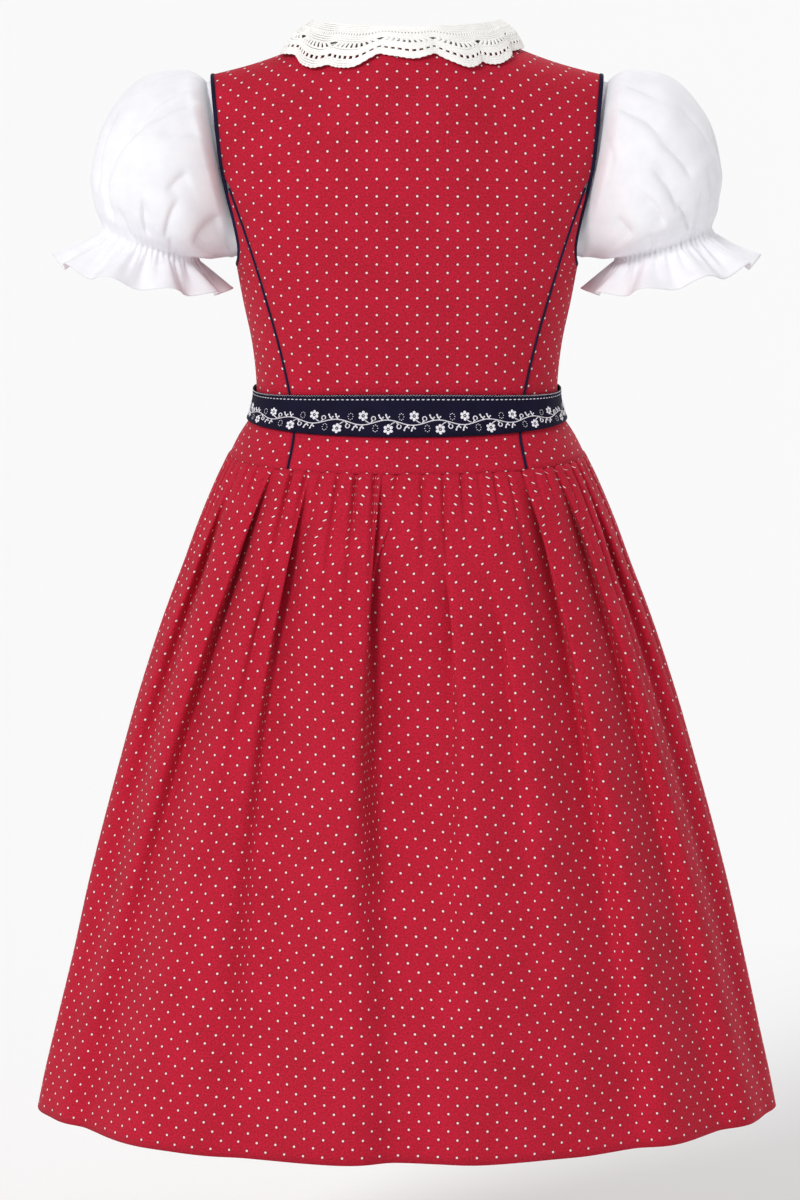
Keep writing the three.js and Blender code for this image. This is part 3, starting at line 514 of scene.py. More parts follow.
def cloth_piece(name, points, material, *, flat=None, thick=CLOTH_THICK, closed=False, centre=None):
    rows, columns = points.shape[:2]
    faces = faces_outward(points.reshape(-1, 3), net_faces(rows, columns, closed), centre)
    piece = mesh_object(name, points.reshape(-1, 3), faces, material)
    if flat is not None:
        layer = piece.data.uv_layers.new(name="cloth")
        corners = np.empty(len(piece.data.loops), int)
        piece.data.loops.foreach_get("vertex_index", corners)
        layer.data.foreach_set("uv", flat.reshape(-1, 2)[corners].astype(np.float32).ravel())
    solid = piece.modifiers.new("thickness", "SOLIDIFY")
    solid.thickness = thick * MM
    solid.offset = -1
    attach(piece, "root")
    return piece


def cut_size(points):
    """The width, the length and the area of the flat piece, in metres."""
    rows = walk(points, 1)[:, -1]
    columns = walk(points, 0)[-1]
    a = points[1:, 1:] - points[:-1, :-1]
    b = points[1:, :-1] - points[:-1, 1:]
    area = np.linalg.norm(np.cross(a, b), axis=2).sum() / 2
    return rows.max() * MM, columns.max() * MM, area * MM * MM


def declare(piece, points):
    width, length, area = cut_size(points)
    flat = (round(width, 3), round(length, 3))
    area = min(area, 0.999 * flat[0] * flat[1])
    print(piece.name, "was cut from", flat, "m, about", round(area, 4), "square metres")


print("cloth helper ready")

# %% [markdown]
# ## The bodice
# The back of the bodice is three panels and the front four. The long curved seams between them shape it
# to the figure, in place of darts. Each panel's columns run from one seam to the next as angles round
# the body, so they stay even where the surface turns away at the side. Up to the side panel's top the
# rows are level, and above it they rise to the shoulder and the neck.

# %% Bodice panels
SEAM_HALF_GAP = 0.5
BODICE_ROWS = np.linspace(YOKE_Z, SIDE_TOP_Z, 49)
SHOULDER_ROWS = np.sin(np.linspace(0, math.pi / 2, 26)[1:])


def turned(z, x, inset=0.0):
    """The angle round the section at which x lies."""
    half = read(BODY, z, "half_width") - inset
    return np.arccos(np.sign(x) * np.clip(np.abs(x) / half, 0, 1) ** (read(BODY, z, "square") / 2))


def between(z, first, last, share, inset=0.0):
    """The x of a column that keeps its share of the way from one edge to the other."""
    turn = mix(turned(z, first, inset), turned(z, last, inset), share)
    half = read(BODY, z, "half_width") - inset
    return section(turn, half, 0, read(BODY, z, "square"))[0]


def panel_net(side, first, last, columns, *, rows=BODICE_ROWS, rises=(), neck=None, inset=0.0):
    """A panel's net. first and last give its two edges at a height, rises its rows above the level ones."""
    shares = np.linspace(0, 1, columns)
    net = []
    for z in rows:
        x = between(np.full(columns, z), first(z), last(z), shares, inset)
        net.append(body_point(x, z, side, inset))
    for rise in rises:
        level = mix(rows[-1], SHOULDER_TIP_Z, rise)
        x = between(np.full(columns, level), first(level), last(level), shares, inset)
        net.append(body_point(x, mix(rows[-1], top_edge(neck, x, side, inset), rise), side, inset))
    return np.array(net)


def armhole_x(side):
    return lambda z: float(read(ARMHOLE, z, DEPTH[side]))


def seam_x(side):
    return lambda z: float(read(PIPED_SEAM, z, DEPTH[side]))


def wide_panel_edge(side):
    return lambda z: armhole_x(side)(z) if z > SEAM_TOP_Z else seam_x(side)(z) - SEAM_HALF_GAP


def side_line(z):
    return float(read(BODY, z, "half_width"))


def mirrored(net):
    return net * np.array([-1, 1, 1])


edge = wide_panel_edge(BACK)
back_net = panel_net(BACK, edge, lambda z: -edge(z), 81, rises=SHOULDER_ROWS, neck=NECK)
back_panel = cloth_piece("bodice_cloth_back", back_net, RED_COTTON, flat=flat_places(back_net))
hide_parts("bodice_back")

front_edge = wide_panel_edge(FRONT)
front_net = panel_net(FRONT, front_edge, lambda z: 0.0, 49, rises=SHOULDER_ROWS, neck=NECK)
front_panels = {}
for net, word in ((front_net, "left"), (mirrored(front_net), "right")):
    flat = flat_places(net, middle=1.0)
    front_panels[word] = cloth_piece(f"bodice_cloth_front_{word}", net, RED_COTTON, flat=flat)
    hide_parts(f"bodice_front_{word}")
print("bodice: one back panel and", len(front_panels), "front panels")

# %% [markdown]
# ## Side panels
# A side panel fills the gap between the piped seam and the side seam, and ends at the armhole. There are
# four of them, and the right ones mirror the left ones.

# %% Side panels
def side_edge(side):
    return lambda z: side_line(z) if z <= UNDERARM_Z else armhole_x(side)(z)


side_nets = {}
side_panels = {}
for side in (BACK, FRONT):
    left_net = panel_net(side, side_edge(side), lambda z: seam_x(side)(z) + SEAM_HALF_GAP, 21)
    for net, word in ((left_net, "left"), (mirrored(left_net), "right")):
        name = f"side_{DEPTH[side]}_{word}"
        panel = cloth_piece(f"bodice_cloth_{name}", net, RED_COTTON, flat=flat_places(net))
        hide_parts(f"bodice_{name}")
        side_nets[name] = net
        side_panels[name] = panel
print("bodice:", len(side_panels), "side panels")

# %% [markdown]
# ## Piping
# Piping is a thin cord wrapped in a bias strip and caught in the seam, so it stands up as a round navy
# line. It is a tube along a line on the body. A tube's rings stand square to the line, with one
# direction kept along the cloth's own outward direction.

# %% Tubes
def unit(vectors):
    return vectors / np.linalg.norm(vectors, axis=-1, keepdims=True)


def tube_rings(path, ups, half_width, half_height, closed=False, sides=10):
    """One ring of points for each point of the path. The half sizes may differ from point to point."""
    before = np.roll(path, 1, axis=0)
    after = np.roll(path, -1, axis=0)
    if not closed:
        before[0] = path[0]
        after[-1] = path[-1]
    along = unit(after - before)
    up = unit(ups - along * (ups * along).sum(axis=1, keepdims=True))
    across = np.cross(along, up)
    turn = np.arange(sides) / sides * 2 * math.pi
    wide = np.multiply.outer(np.broadcast_to(half_width, len(path)), np.cos(turn))
    high = np.multiply.outer(np.broadcast_to(half_height, len(path)), np.sin(turn))
    return path[:, None] + wide[..., None] * across[:, None] + high[..., None] * up[:, None]


def tube_faces(count, sides, closed, first=0):
    faces = []
    for ring in range(count if closed else count - 1):
        here = first + ring * sides
        there = first + (ring + 1) % count * sides
        for k in range(sides):
            n = (k + 1) % sides
            faces.append((here + k, here + n, there + n, there + k))
    if not closed:
        last = first + (count - 1) * sides
        faces.append(tuple(range(first, first + sides))[::-1])
        faces.append(tuple(range(last, last + sides)))
    return faces


def tubes_piece(name, tubes, material):
    """One piece from several tubes, each given as its rings and whether it is a closed loop."""
    points = []
    faces = []
    for rings, closed in tubes:
        faces += tube_faces(len(rings), rings.shape[1], closed, len(points))
        points += rings.reshape(-1, 3).tolist()
    piece = mesh_object(name, points, faces, material)
    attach(piece, "root")
    return piece


def seam_on_body(x, z, side, lift):
    """A line on the body, lifted off it, and the outward direction at each of its points."""
    left, middle, right = (body_point(x + step, z, side) for step in (-2, 0, 2))
    ups = unit(np.cross(np.gradient(middle, axis=0), right - left))
    ups = ups * np.sign((ups[:, :2] * middle[:, :2]).sum(axis=1))[:, None]
    return middle + ups * lift, ups


PIPING_RADIUS = 0.95
PIPING_LIFT = 0.1
piping_heights = np.linspace(YOKE_Z + 0.6, SIDE_TOP_Z + 4, 90)
trims = {name: [] for name in ("back", "front_left", "front_right", *side_panels)}
for side in (BACK, FRONT):
    seam = read(PIPED_SEAM, piping_heights, DEPTH[side])
    for hand, word in ((1, "left"), (-1, "right")):
        place = f"{DEPTH[side]}_{word}"
        path, ups = seam_on_body(hand * seam, piping_heights, side, PIPING_LIFT)
        rings = tube_rings(path, ups, PIPING_RADIUS, PIPING_RADIUS, sides=12)
        piping = tubes_piece(f"piping_cord_{place}", [(rings, False)], NAVY_CLOTH)
        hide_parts(f"piping_{place}")
        trims[f"side_{place}"].append(piping)
print("piping:", 2 * PIPING_RADIUS, "mm thick")

# %% [markdown]
# ## Armhole bindings
# A binding is a bias strip folded over the armhole's raw edge. It is a flat tube along that edge. Under
# the arm its broad side looks away from the body, and on the shoulder it looks up. With the trims made,
# the size of the flat piece that each of the bodice's panels was cut from is printed.

# %% Armhole bindings
BINDING_HALF_WIDTH = 1.6
BINDING_HALF_HEIGHT = 1.05
BINDING_OVER_EDGE = 0.3
BINDING_SINKS = 0.25
ARMHOLE_HALF_DEPTH = 42
ARMHOLE_MIDDLE_X = 128


def armhole_side(side):
    """The armhole's edge on the left, from under the arm to the shoulder."""
    low = np.linspace(UNDERARM_Z, SIDE_TOP_Z, 40)[1:]
    rises = SHOULDER_ROWS[:-1]
    x_low = read(ARMHOLE, low, DEPTH[side])
    x_high = read(ARMHOLE, mix(SIDE_TOP_Z, SHOULDER_TIP_Z, rises), DEPTH[side])
    high = mix(SIDE_TOP_Z, shoulder_line(x_high), rises)
    return body_point(np.concatenate([x_low, x_high]), np.concatenate([low, high]), side)


def armhole_loop(out):
    """The left armhole's edge as a loop, moved out into the opening, with outward directions."""
    tip = [[SHOULDER_HALF, 0, SHOULDER_TIP_Z]]
    pit = [[side_line(UNDERARM_Z), 0, UNDERARM_Z]]
    loop = np.concatenate([pit, armhole_side(BACK), tip, armhole_side(FRONT)[::-1]])
    height = ease((loop[:, 2] - UNDERARM_Z) / (SHOULDER_TIP_Z - UNDERARM_Z))
    sideways = mix(0.9, 0.25, height)
    ups = unit(np.stack([sideways, 0.75 * loop[:, 1] / ARMHOLE_HALF_DEPTH, height ** 3], axis=1))
    along = unit(np.roll(loop, -1, axis=0) - np.roll(loop, 1, axis=0))
    across = unit(np.cross(along, ups))
    centre = np.array([ARMHOLE_MIDDLE_X, 0, mix(UNDERARM_Z, SHOULDER_TIP_Z, 0.5)])
    across = across * np.sign((across * (centre - loop)).sum(axis=1))[:, None]
    return loop + across * out, ups


loop, ups = armhole_loop(BINDING_HALF_WIDTH - BINDING_OVER_EDGE)
loop = loop - ups * BINDING_SINKS
rings = tube_rings(loop, ups, BINDING_HALF_WIDTH, BINDING_HALF_HEIGHT, closed=True, sides=12)
for rings_shown, word in ((rings, "left"), (mirrored(rings)[:, ::-1], "right")):
    binding = tubes_piece(f"binding_strip_{word}", [(rings_shown, True)], NAVY_CLOTH)
    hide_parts(f"armhole_binding_{word}")
    trims[f"front_{word}"].append(binding)

declare(back_panel, back_net)
for net, word in ((front_net, "left"), (mirrored(front_net), "right")):
    declare(front_panels[word], net)
for name, panel in side_panels.items():
    declare(panel, side_nets[name])

# %% [markdown]
# ## The gathered skirt
# Two wide panels of cotton, drawn together at the top on two rows of running stitches until they fit the
# bodice. Each gather begins as a narrow fold at the seam, and most of them die out within a hand's
# width. A few large folds fall on from the hips to the hem.
#
# A row of the table is one fold: where it lies in degrees from the middle of the back at the top and at
# the hem, half its width in degrees, its depth, and how far down it starts and ends. Its trough leans
# towards the side seam, so one wall is steep. The cloth that folds and gathers take up is still there,
# so the flat coordinates run faster in the gathers and in a narrow strip of the steep wall, and the dots
# crowd where the real ones do.

# %% Folds of the skirt
SKIRT_FOLDS = dict(
    at=[66, 44, 34, 28, 5, 1.8, -7.5, -19, -35, -52, -70, -98, -118, -136, -153, -172, 168, 149, 131,
        114, 95],
    hem=[72, 60, 38, 24, 3, 1, -4.5, -21, -36, -57, -75, -101, -121, -138, -156, -174, 165, 147, 129,
         112, 94],
    wide=[5, 5, 4.5, 5, 3.6, 2.6, 3.4, 4.5, 5, 5.5, 5, 6, 5, 5, 5.5, 4.5, 5, 5, 4.5, 5.5, 5],
    deep=[7, 10, 4, 11, 8, 9, 6, 4, 10, 9, 6, 8, 9, 6, 10, 7, 8, 10, 5, 9, 7],
    start=[30, 10, 60, 20, 10, 35, 60, 80, 10, 15, 30, 20, 10, 40, 10, 30, 20, 10, 50, 15, 30],
    end=[330, 400, 300, 330, 250, 200, 270, 420, 420, 440, 380, 420, 380, 440, 360, 300, 430, 350, 420,
         400, 360],
)
GATHERS = 64
SKIRT_COLUMNS = 541
SKIRT_TOP_Z = YOKE_Z - 0.3
SKIRT_PANEL_WIDTH = 750
FOLD_DEEPER = 1.75
FOLD_LEAN = 1.2
OUTER_REACH = 0.85
INNER_REACH = 1.5
TUCK_PLACE = 0.45
TUCK_WIDTH = 0.22
LEAST_TUCK_WIDTH = 0.45
TUCKED = 0.2
GATHERS_OUT_BY = 100
SEAM_DEPTH = 1.3
FLARE = 1.1
EVEN_SPREAD = 0.04
GATHERS_HIDE = 0.8
seeded = np.random.default_rng(5)
gather_depth = seeded.uniform(1.4, 6.5, GATHERS)
gather_reach = 13 + 120 * seeded.uniform(0, 1, GATHERS) ** 3


def fold_depths(turn, drop):
    """How deep the large folds and the gathers are, how far they lean, and how much is tucked away."""
    from_back = 90 - np.degrees(turn)
    large = np.zeros_like(turn)
    lean = np.zeros_like(turn)
    tucked = np.zeros_like(turn)
    for i in range(len(SKIRT_FOLDS["at"])):
        fold = {key: values[i] for key, values in SKIRT_FOLDS.items()}
        middle = mix(fold["at"], fold["hem"], np.clip(drop / (SKIRT_TOP_Z - HEM_Z), 0, 1))
        away = (from_back - middle + 540) % 360 - 180
        opened = np.clip((drop - fold["start"]) / (fold["end"] - fold["start"]), 0, 1)
        wide = fold["wide"] * mix(0.3, 1.45, opened)
        grown = ease((drop - fold["start"] + 25) / 75) * (1 - 0.6 * ease((drop - fold["end"]) / 150))
        outwards = 1 if fold["at"] > 0 else -1
        reach = np.where(away * outwards > 0, OUTER_REACH, INNER_REACH) * wide
        deep = FOLD_DEEPER * fold["deep"] * grown * mix(0.75, 0.95, opened ** 0.5)
        trough = deep * np.exp(-((away / reach) ** 2))
        large += trough
        strip = np.maximum(TUCK_WIDTH * wide, LEAST_TUCK_WIDTH)
        in_wall = (away - TUCK_PLACE * wide * outwards) / strip
        tucked += TUCKED * trough ** 1.6 * np.exp(-(in_wall ** 2))
        lean -= trough * mix(1.0, 0.4, opened) * outwards
    phase = GATHERS * turn + 0.7 * np.sin(3 * turn)
    number = np.floor(phase / (2 * math.pi)).astype(int) % GATHERS
    narrow = mix(6.0, 1.6, np.clip(drop / GATHERS_OUT_BY, 0, 1))
    valley = ((1 - np.cos(phase)) / 2) ** narrow
    begun = 0.45 + 0.55 * ease(drop / 7)
    dying = np.exp(-np.maximum(drop, 0) / gather_reach[number])
    gathers = gather_depth[number] * begun * dying * valley
    return large, gathers, lean * FOLD_LEAN, tucked


print("skirt:", len(SKIRT_FOLDS["at"]), "large folds and", GATHERS, "gathers")

# %% [markdown]
# A panel of the skirt is a net of points, row by row from the seam to the hem. Its flat piece is wider
# than what shows. The rest of its width lies hidden in the folds and gathers.

# %% Skirt panels
def skirt_net(side):
    """A skirt panel's net, and each point's place on its flat piece."""
    turns = (0 if side == BACK else math.pi) + np.linspace(0, math.pi, SKIRT_COLUMNS)
    fine = np.concatenate([[-2.0, -0.8, 0.0], 70 * np.linspace(0, 1, 34)[1:] ** 1.3])
    drops = np.concatenate([fine, np.linspace(70, SKIRT_TOP_Z - HEM_Z, 52)[1:]])
    turn, drop = np.meshgrid(turns, drops)
    z = SKIRT_TOP_Z - drop
    square = read(BODY, z, "square")
    half_width = read(BODY, z, "half_width")
    deep = read(BODY, z, DEPTH[side])
    x, y = section(turn, half_width, side * deep, square)
    large, gathers, lean, tucked = fold_depths(turn, drop)
    seam = SEAM_DEPTH * (1 - ease((drop + 0.8) / 2.2))
    out = FLARE * np.exp(-np.maximum(drop, 0) / 60) - large - gathers - seam
    length = np.hypot(deep * np.cos(turn), half_width * np.sin(turn))
    out_x = deep * np.cos(turn) / length
    out_y = half_width * np.sin(turn) / length
    at_seam = np.clip(np.minimum(turn - turns[0], turns[-1] - turn) / 0.06, 0, 1)
    lean = lean * at_seam
    x = x + out * out_x - lean * out_y
    y = y + out * out_y + lean * out_x
    y[:, [0, -1]] = 0
    points = np.stack([x, y, z], axis=-1)

    steps = np.linalg.norm(np.diff(points, axis=1), axis=2)
    hiding = EVEN_SPREAD + tucked + GATHERS_HIDE * (gathers / 2) ** 3
    hidden = (hiding[:, 1:] + hiding[:, :-1]) / 2 * steps
    spare = SKIRT_PANEL_WIDTH - steps.sum(axis=1, keepdims=True)
    flat_steps = steps + np.maximum(spare, 0) * hidden / hidden.sum(axis=1, keepdims=True)
    across = np.concatenate([np.zeros((len(drops), 1)), np.cumsum(flat_steps, axis=1)], axis=1)
    down = walk(points, 0).mean(axis=1, keepdims=True) + 0 * across
    return points, np.stack([across - across[:, -1:] / 2, down], axis=-1)


for side, bodice_panel in ((BACK, "bodice_cloth_back"), (FRONT, "bodice_cloth_front_left")):
    net, flat = skirt_net(side)
    panel = cloth_piece(f"skirt_cloth_{DEPTH[side]}", net, RED_COTTON, flat=flat)
    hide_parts(f"skirt_{DEPTH[side]}")

# %% [markdown]
# ## The woven band
# A firm navy ribbon lies round the waist over the bodice and the piping. It is deepest in the middle of
# the back, and its ends lap over each other in front. `band_surface` gives the places on it. Measured
# along its middle, it also tells where the middle of the back lies, from which its flowers are counted.

# %% Band
BAND_TOP_Z = -245.5
BAND_BOTTOM_Z = -266.5
BAND_BACK_RISE = 6.5
BAND_BACK_DROP = 1.5
BAND_LIFT = 2.7
BAND_LAP = 9
BAND_THICK = 1.0
BAND_STEPS_OVER = 1.7
WAIST_HALF_WIDTH = 108.0
LAP_TURN = BAND_LAP / WAIST_HALF_WIDTH


def band_surface(turn, share, lift=0.0):
    """A place on the band: turn goes round from the left side over the back, share goes up from 0 to 1."""
    behind = np.maximum(np.sin(turn), 0) ** 2
    top = BAND_TOP_Z + BAND_BACK_RISE * behind
    bottom = BAND_BOTTOM_Z - BAND_BACK_DROP * behind
    z = mix(bottom, top, share)
    over = BAND_STEPS_OVER * ease((turn - 1.45 * math.pi + 2 * LAP_TURN) / (2 * LAP_TURN))
    out = BAND_LIFT + over + lift
    deep = by_side(turn, lambda side: side * (read(BODY, z, DEPTH[side]) + out))
    x, y = section(turn, read(BODY, z, "half_width") + out, deep, read(BODY, z, "square"))
    return np.stack([x, y, z], axis=-1)


band_turns = np.linspace(-math.pi / 2 - LAP_TURN, 1.5 * math.pi + LAP_TURN, 481)
turn, share = np.meshgrid(band_turns, np.linspace(0, 1, 9))
band_net = band_surface(turn, share)
band_flat = flat_places(band_net)
band = cloth_piece("woven_band", band_net, NAVY_BAND, thick=BAND_THICK, flat=band_flat)
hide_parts("waist_band")
band_walk = walk(band_net[4:5], 1)[0]
band_length = float(band_walk[-1])
back_middle = float(np.interp(math.pi / 2, band_turns, band_walk))
print("band:", round(band_length), "mm round")

# %% [markdown]
# ## Flowers on the band
# The pattern is a wavy stem with a flower above it, a curl, two leaves and a small ring of dashes, and
# the same again below it, half a repeat further on. It is charted in millimetres, as a weaver would
# chart it. Each thread is a ridge with a flat underside, and each petal a small dome, so the light
# catches them.

# %% Woven flowers
BAND_HEIGHT = 29.5
REPEAT = 36.0
FIRST_FLOWER = 5.0
FREE_ENDS = 14
STEM_HEIGHT = 9.7
STEM_SWING = 1.8
STEM_SHIFT = 17
SUNK = -0.05
PETALS = 6
PETAL_RING = 2.3
FLOWER_RISE = 4.6
FLOWER_STALK = [(0.9, 2.2), (2.2, 0.9), (3.4, 0.2), (4.8, -0.4)]
CURL_MIDDLE = (7.4, 2.7)
CURL_RADIUS = 1.45
CURL_STALK = [(6.2, 0.6), (5.4, -0.5)]
LEAF_STALKS = [
    [(14.0, 1.6), (13.0, 2.6), (11.9, 3.4), (11.2, 5.0)],
    [(18.0, 1.9), (17.4, 3.0), (16.6, 3.9), (16.2, 5.3)],
]
RING_MIDDLE = (-9, 4.0)
RING_DASHES = 8
flower_points = []
flower_faces = []
print("flowers: half a repeat is", REPEAT / 2, "mm long, and a flower has", PETALS, "petals")

# %% [markdown]
# Each thread and petal is raised a little above the band. Its place is given across from the middle of
# the back and up from the band's lower edge.

# %% Threads of the flowers
def band_at(across, up, lift):
    """A place on the band, across from the middle of the back and up from its lower edge, in millimetres."""
    turn = np.interp(back_middle + np.asarray(across, float), band_walk, band_turns)
    return band_surface(turn, np.asarray(up, float) / BAND_HEIGHT, np.asarray(lift, float))


def woven_thread(path, half_width, height=0.5, tips=0.5):
    """A raised thread along a path on the band. tips is how wide its ends are, as a share of the rest."""
    path = np.array(path, float)
    along = np.gradient(path, axis=0)
    beside = np.stack([-along[:, 1], along[:, 0]], axis=1) / np.hypot(along[:, 0], along[:, 1])[:, None]
    wide = np.full(len(path), half_width)
    wide[[0, -1]] *= tips
    left = path + beside * wide[:, None]
    right = path - beside * wide[:, None]
    flat = np.full(len(path), SUNK)
    lines = [(left, flat), (path, flat + height), (right, flat)]
    rows = [band_at(line[:, 0], line[:, 1], lift) for line, lift in lines]
    first = len(flower_points)
    flower_points.extend(np.stack(rows, axis=1).reshape(-1, 3).tolist())
    for i in range(len(path) - 1):
        a, b = first + 3 * i, first + 3 * i + 3
        flower_faces.extend([(a, a + 1, b + 1, b), (a + 1, a + 2, b + 2, b + 1), (a + 2, a, b, b + 2)])
    end = first + 3 * (len(path) - 1)
    flower_faces.extend([(first + 2, first + 1, first), (end, end + 1, end + 2)])


def woven_dome(centre, length, width, angle=0.0, height=0.55, sides=9):
    """A raised oval, such as a petal."""
    turn = np.arange(sides) / sides * 2 * math.pi
    u, v = length * np.cos(turn), width * np.sin(turn)
    across = centre[0] + u * math.cos(angle) - v * math.sin(angle)
    up = centre[1] + u * math.sin(angle) + v * math.cos(angle)
    first = len(flower_points)
    flower_points.extend(band_at(across, up, np.full(sides, SUNK)).tolist())
    flower_points.append(band_at(centre[0], centre[1], height).tolist())
    flower_faces.extend((first + k, first + (k + 1) % sides, first + sides) for k in range(sides))
    flower_faces.append(tuple(range(first, first + sides))[::-1])


def half_repeat(start, way):
    """A flower with its curl, leaves and ring. way is 1 above the stem and -1 below it."""
    def chart(x, y):
        return start + x, STEM_HEIGHT + way * y

    for petal in range(PETALS):
        angle = math.radians(60 * petal + 30)
        centre = chart(PETAL_RING * math.cos(angle), FLOWER_RISE + PETAL_RING * math.sin(angle))
        woven_dome(centre, 1.45, 1.25, way * angle)
    woven_dome(chart(0, FLOWER_RISE), 0.5, 0.5, sides=7)
    woven_thread([chart(x, y) for x, y in FLOWER_STALK], 0.4)
    turns = [math.radians(degrees) for degrees in range(-60, 271, 30)]
    curl = [(CURL_MIDDLE[0] + CURL_RADIUS * math.cos(turn), CURL_MIDDLE[1] + CURL_RADIUS * math.sin(turn))
            for turn in turns]
    woven_thread([chart(x, y) for x, y in curl + CURL_STALK], 0.45)
    for stalk in LEAF_STALKS:
        woven_thread([chart(x, y) for x, y in stalk], 0.62)
        woven_dome(chart(*stalk[-1]), 0.95, 0.75, way * math.radians(110), sides=7)
        woven_dome(chart(stalk[1][0] + 1.1, stalk[1][1] + 0.9), 0.9, 0.65, way * math.radians(50), sides=7)
    for dash in range(RING_DASHES):
        angle = math.radians(45 * dash)
        centre = chart(RING_MIDDLE[0] + 1.75 * math.cos(angle), RING_MIDDLE[1] + 2.3 * math.sin(angle))
        woven_dome(centre, 0.36, 0.52, way * angle, height=0.4, sides=6)


print("a flower's ring has", RING_DASHES, "dashes")

# %% [markdown]
# Every half repeat has a flower with its curl, leaves and ring. They stand above the stem and hang below
# it in turns. A row of dashes and a zigzag run along the band's upper edge.

# %% Flowers round the band
half = REPEAT / 2
reach = band_length / 2 - FREE_ENDS
first_number = math.ceil((-reach - FIRST_FLOWER) / half)
last_number = math.floor((reach - FIRST_FLOWER) / half)
flower_numbers = range(first_number, last_number + 1)
for number in flower_numbers:
    half_repeat(FIRST_FLOWER + number * half, 1 if number % 2 == 0 else -1)
stem_across = np.arange(-band_length / 2 + 2, band_length / 2 - 2, REPEAT / 20)
stem_up = STEM_HEIGHT + STEM_SWING * np.cos(2 * math.pi * (stem_across - FIRST_FLOWER - STEM_SHIFT) / REPEAT)
woven_thread(np.stack([stem_across, stem_up], axis=1), 0.42)

DASH_PITCH = 3.6
DASH_UP = 25.9
DASH_LENGTH = 2.1
for across in np.arange(-band_length / 2 + 3, band_length / 2 - 4, DASH_PITCH):
    woven_thread([(across + along, DASH_UP) for along in (0, DASH_LENGTH / 2, DASH_LENGTH)], 0.5, height=0.4)
ZIGZAG_PITCH = 2.2
ZIGZAG_UP = 28.9
ZIGZAG_SWING = 0.45
corners = np.arange(-band_length / 2 + 1, band_length / 2 - 1, ZIGZAG_PITCH / 2)
zigzag = np.stack([corners, ZIGZAG_UP + ZIGZAG_SWING * (-1.0) ** np.arange(len(corners))], axis=1)
woven_thread(zigzag, 0.14, height=0.25)
flowers = mesh_object("woven_band_flowers", flower_points, flower_faces, FLOWER_THREAD)
flowers.data.shade_flat()
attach(flowers, "root")
print("flowers on the band:", len(flower_numbers), "and", len(flowers.data.polygons), "faces")

# %% [markdown]
# ## The front: button strip and buttons
# The front can't be seen in the photo. A dress of this kind closes there, so it has a plain strip over
# the middle and seven small navy buttons. They are turned buttons with a raised rim.

# %% Strip and buttons
STRIP_HALF_WIDTH = 9
STRIP_TOP_Z = -47
STRIP_BOTTOM_Z = -244
STRIP_LIFT = 1.6
BUTTONS = 7
BUTTON_TOP_Z = -58
BUTTON_PITCH = 27
BUTTON_RADIUS = 4.6
BUTTON_SIDES = 28
BUTTON_PROFILE = dict(
    radius=[0.93, 1.0, 0.97, 0.86, 0.78, 0.7, 0.62, 0.1],
    height=[0.0, 0.7, 1.5, 2.3, 2.5, 2.35, 1.9, 1.7],
)
BAND_BUTTON_RADIUS = 5.5
BAND_BUTTON_LIFT = BAND_LIFT + 1.9


def front_outward(z):
    """The place in the middle of the front at a height, and the cloth's outward direction there."""
    path, ups = seam_on_body(np.zeros(3), np.array([z - 1.0, z, z + 1.0]), FRONT, 0.0)
    return path[1], ups[1]


heights = np.linspace(STRIP_BOTTOM_Z, STRIP_TOP_Z, 60)
ups = np.array([front_outward(z)[1] for z in heights])
strip_columns = np.linspace(-STRIP_HALF_WIDTH, STRIP_HALF_WIDTH, 11)
strip_net = np.array([body_point(strip_columns, z, FRONT) for z in heights]) + ups[:, None] * STRIP_LIFT
strip_flat = flat_places(strip_net)
strip = cloth_piece("button_strip_cloth", strip_net, RED_COTTON, thick=1.0, flat=strip_flat)
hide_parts("button_strip")


def turned_button(name, z, radius, lift):
    """A round button: rings of points at the radii and heights of its profile."""
    place, up = front_outward(z)
    side = np.array([1.0, 0, 0])
    above = np.cross(up, side)
    turn = np.arange(BUTTON_SIDES) / BUTTON_SIDES * 2 * math.pi
    round_way = np.cos(turn)[:, None] * side + np.sin(turn)[:, None] * above
    profile = zip(BUTTON_PROFILE["radius"], BUTTON_PROFILE["height"])
    rings = np.array([place + up * (lift + high) + round_way * radius * wide for wide, high in profile])
    return tubes_piece(name, [(rings, False)], NAVY_BUTTON)


for k in range(BUTTONS):
    z = BUTTON_TOP_Z - k * BUTTON_PITCH
    button = turned_button(f"turned_button_{k + 1}", z, BUTTON_RADIUS, STRIP_LIFT + 0.1)
    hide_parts(f"button_{k + 1}")
declare(strip, strip_net)
band_middle_z = (BAND_TOP_Z + BAND_BOTTOM_Z) / 2
clasp = turned_button("turned_band_button", band_middle_z, BAND_BUTTON_RADIUS, BAND_BUTTON_LIFT)
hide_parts("band_button")
declare(band, band_net)
print("front:", BUTTONS, "buttons,", BUTTON_PITCH, "mm apart")

# %% [markdown]
# ## The blouse's body
# The blouse is short and plain: two panels that end above the waist, a low neckband, and armholes that
# are a little wider than those of the dress. Only a narrow edge of it shows beside each armhole binding.

# %% Blouse panels
BLOUSE_INSET = 4.1
BLOUSE_ARMHOLE = dict(
    z=[-25.7, -31, -40, -60, -80, -100, -120, -137, -145, -150],
    back=[142.5, 141, 139, 135.6, 131.8, 126.6, 121.3, 117.8, 117.4, 118.6],
    front=[142.5, 140.5, 137.8, 133.8, 129.8, 124.6, 119.8, 116.8, 116.9, 118.6],
)
BLOUSE_HEM_Z = -190
BLOUSE_UNDERARM_Z = -150
BLOUSE_NECK = dict(half_width=66, back=8.0, side=-1.4, front=-37.0)
NECKBAND_TOP = dict(half_width=66, back=15.5, side=16.5, front=-28.0)
NECKBAND_DEEP = {BACK: 46, FRONT: 60}
NECKBAND_GAP = 0.4
SEWN_TO_LACE = np.array([0, 0, 1.8])
rows_below_arm = np.linspace(BLOUSE_HEM_Z, BLOUSE_UNDERARM_Z, 10)
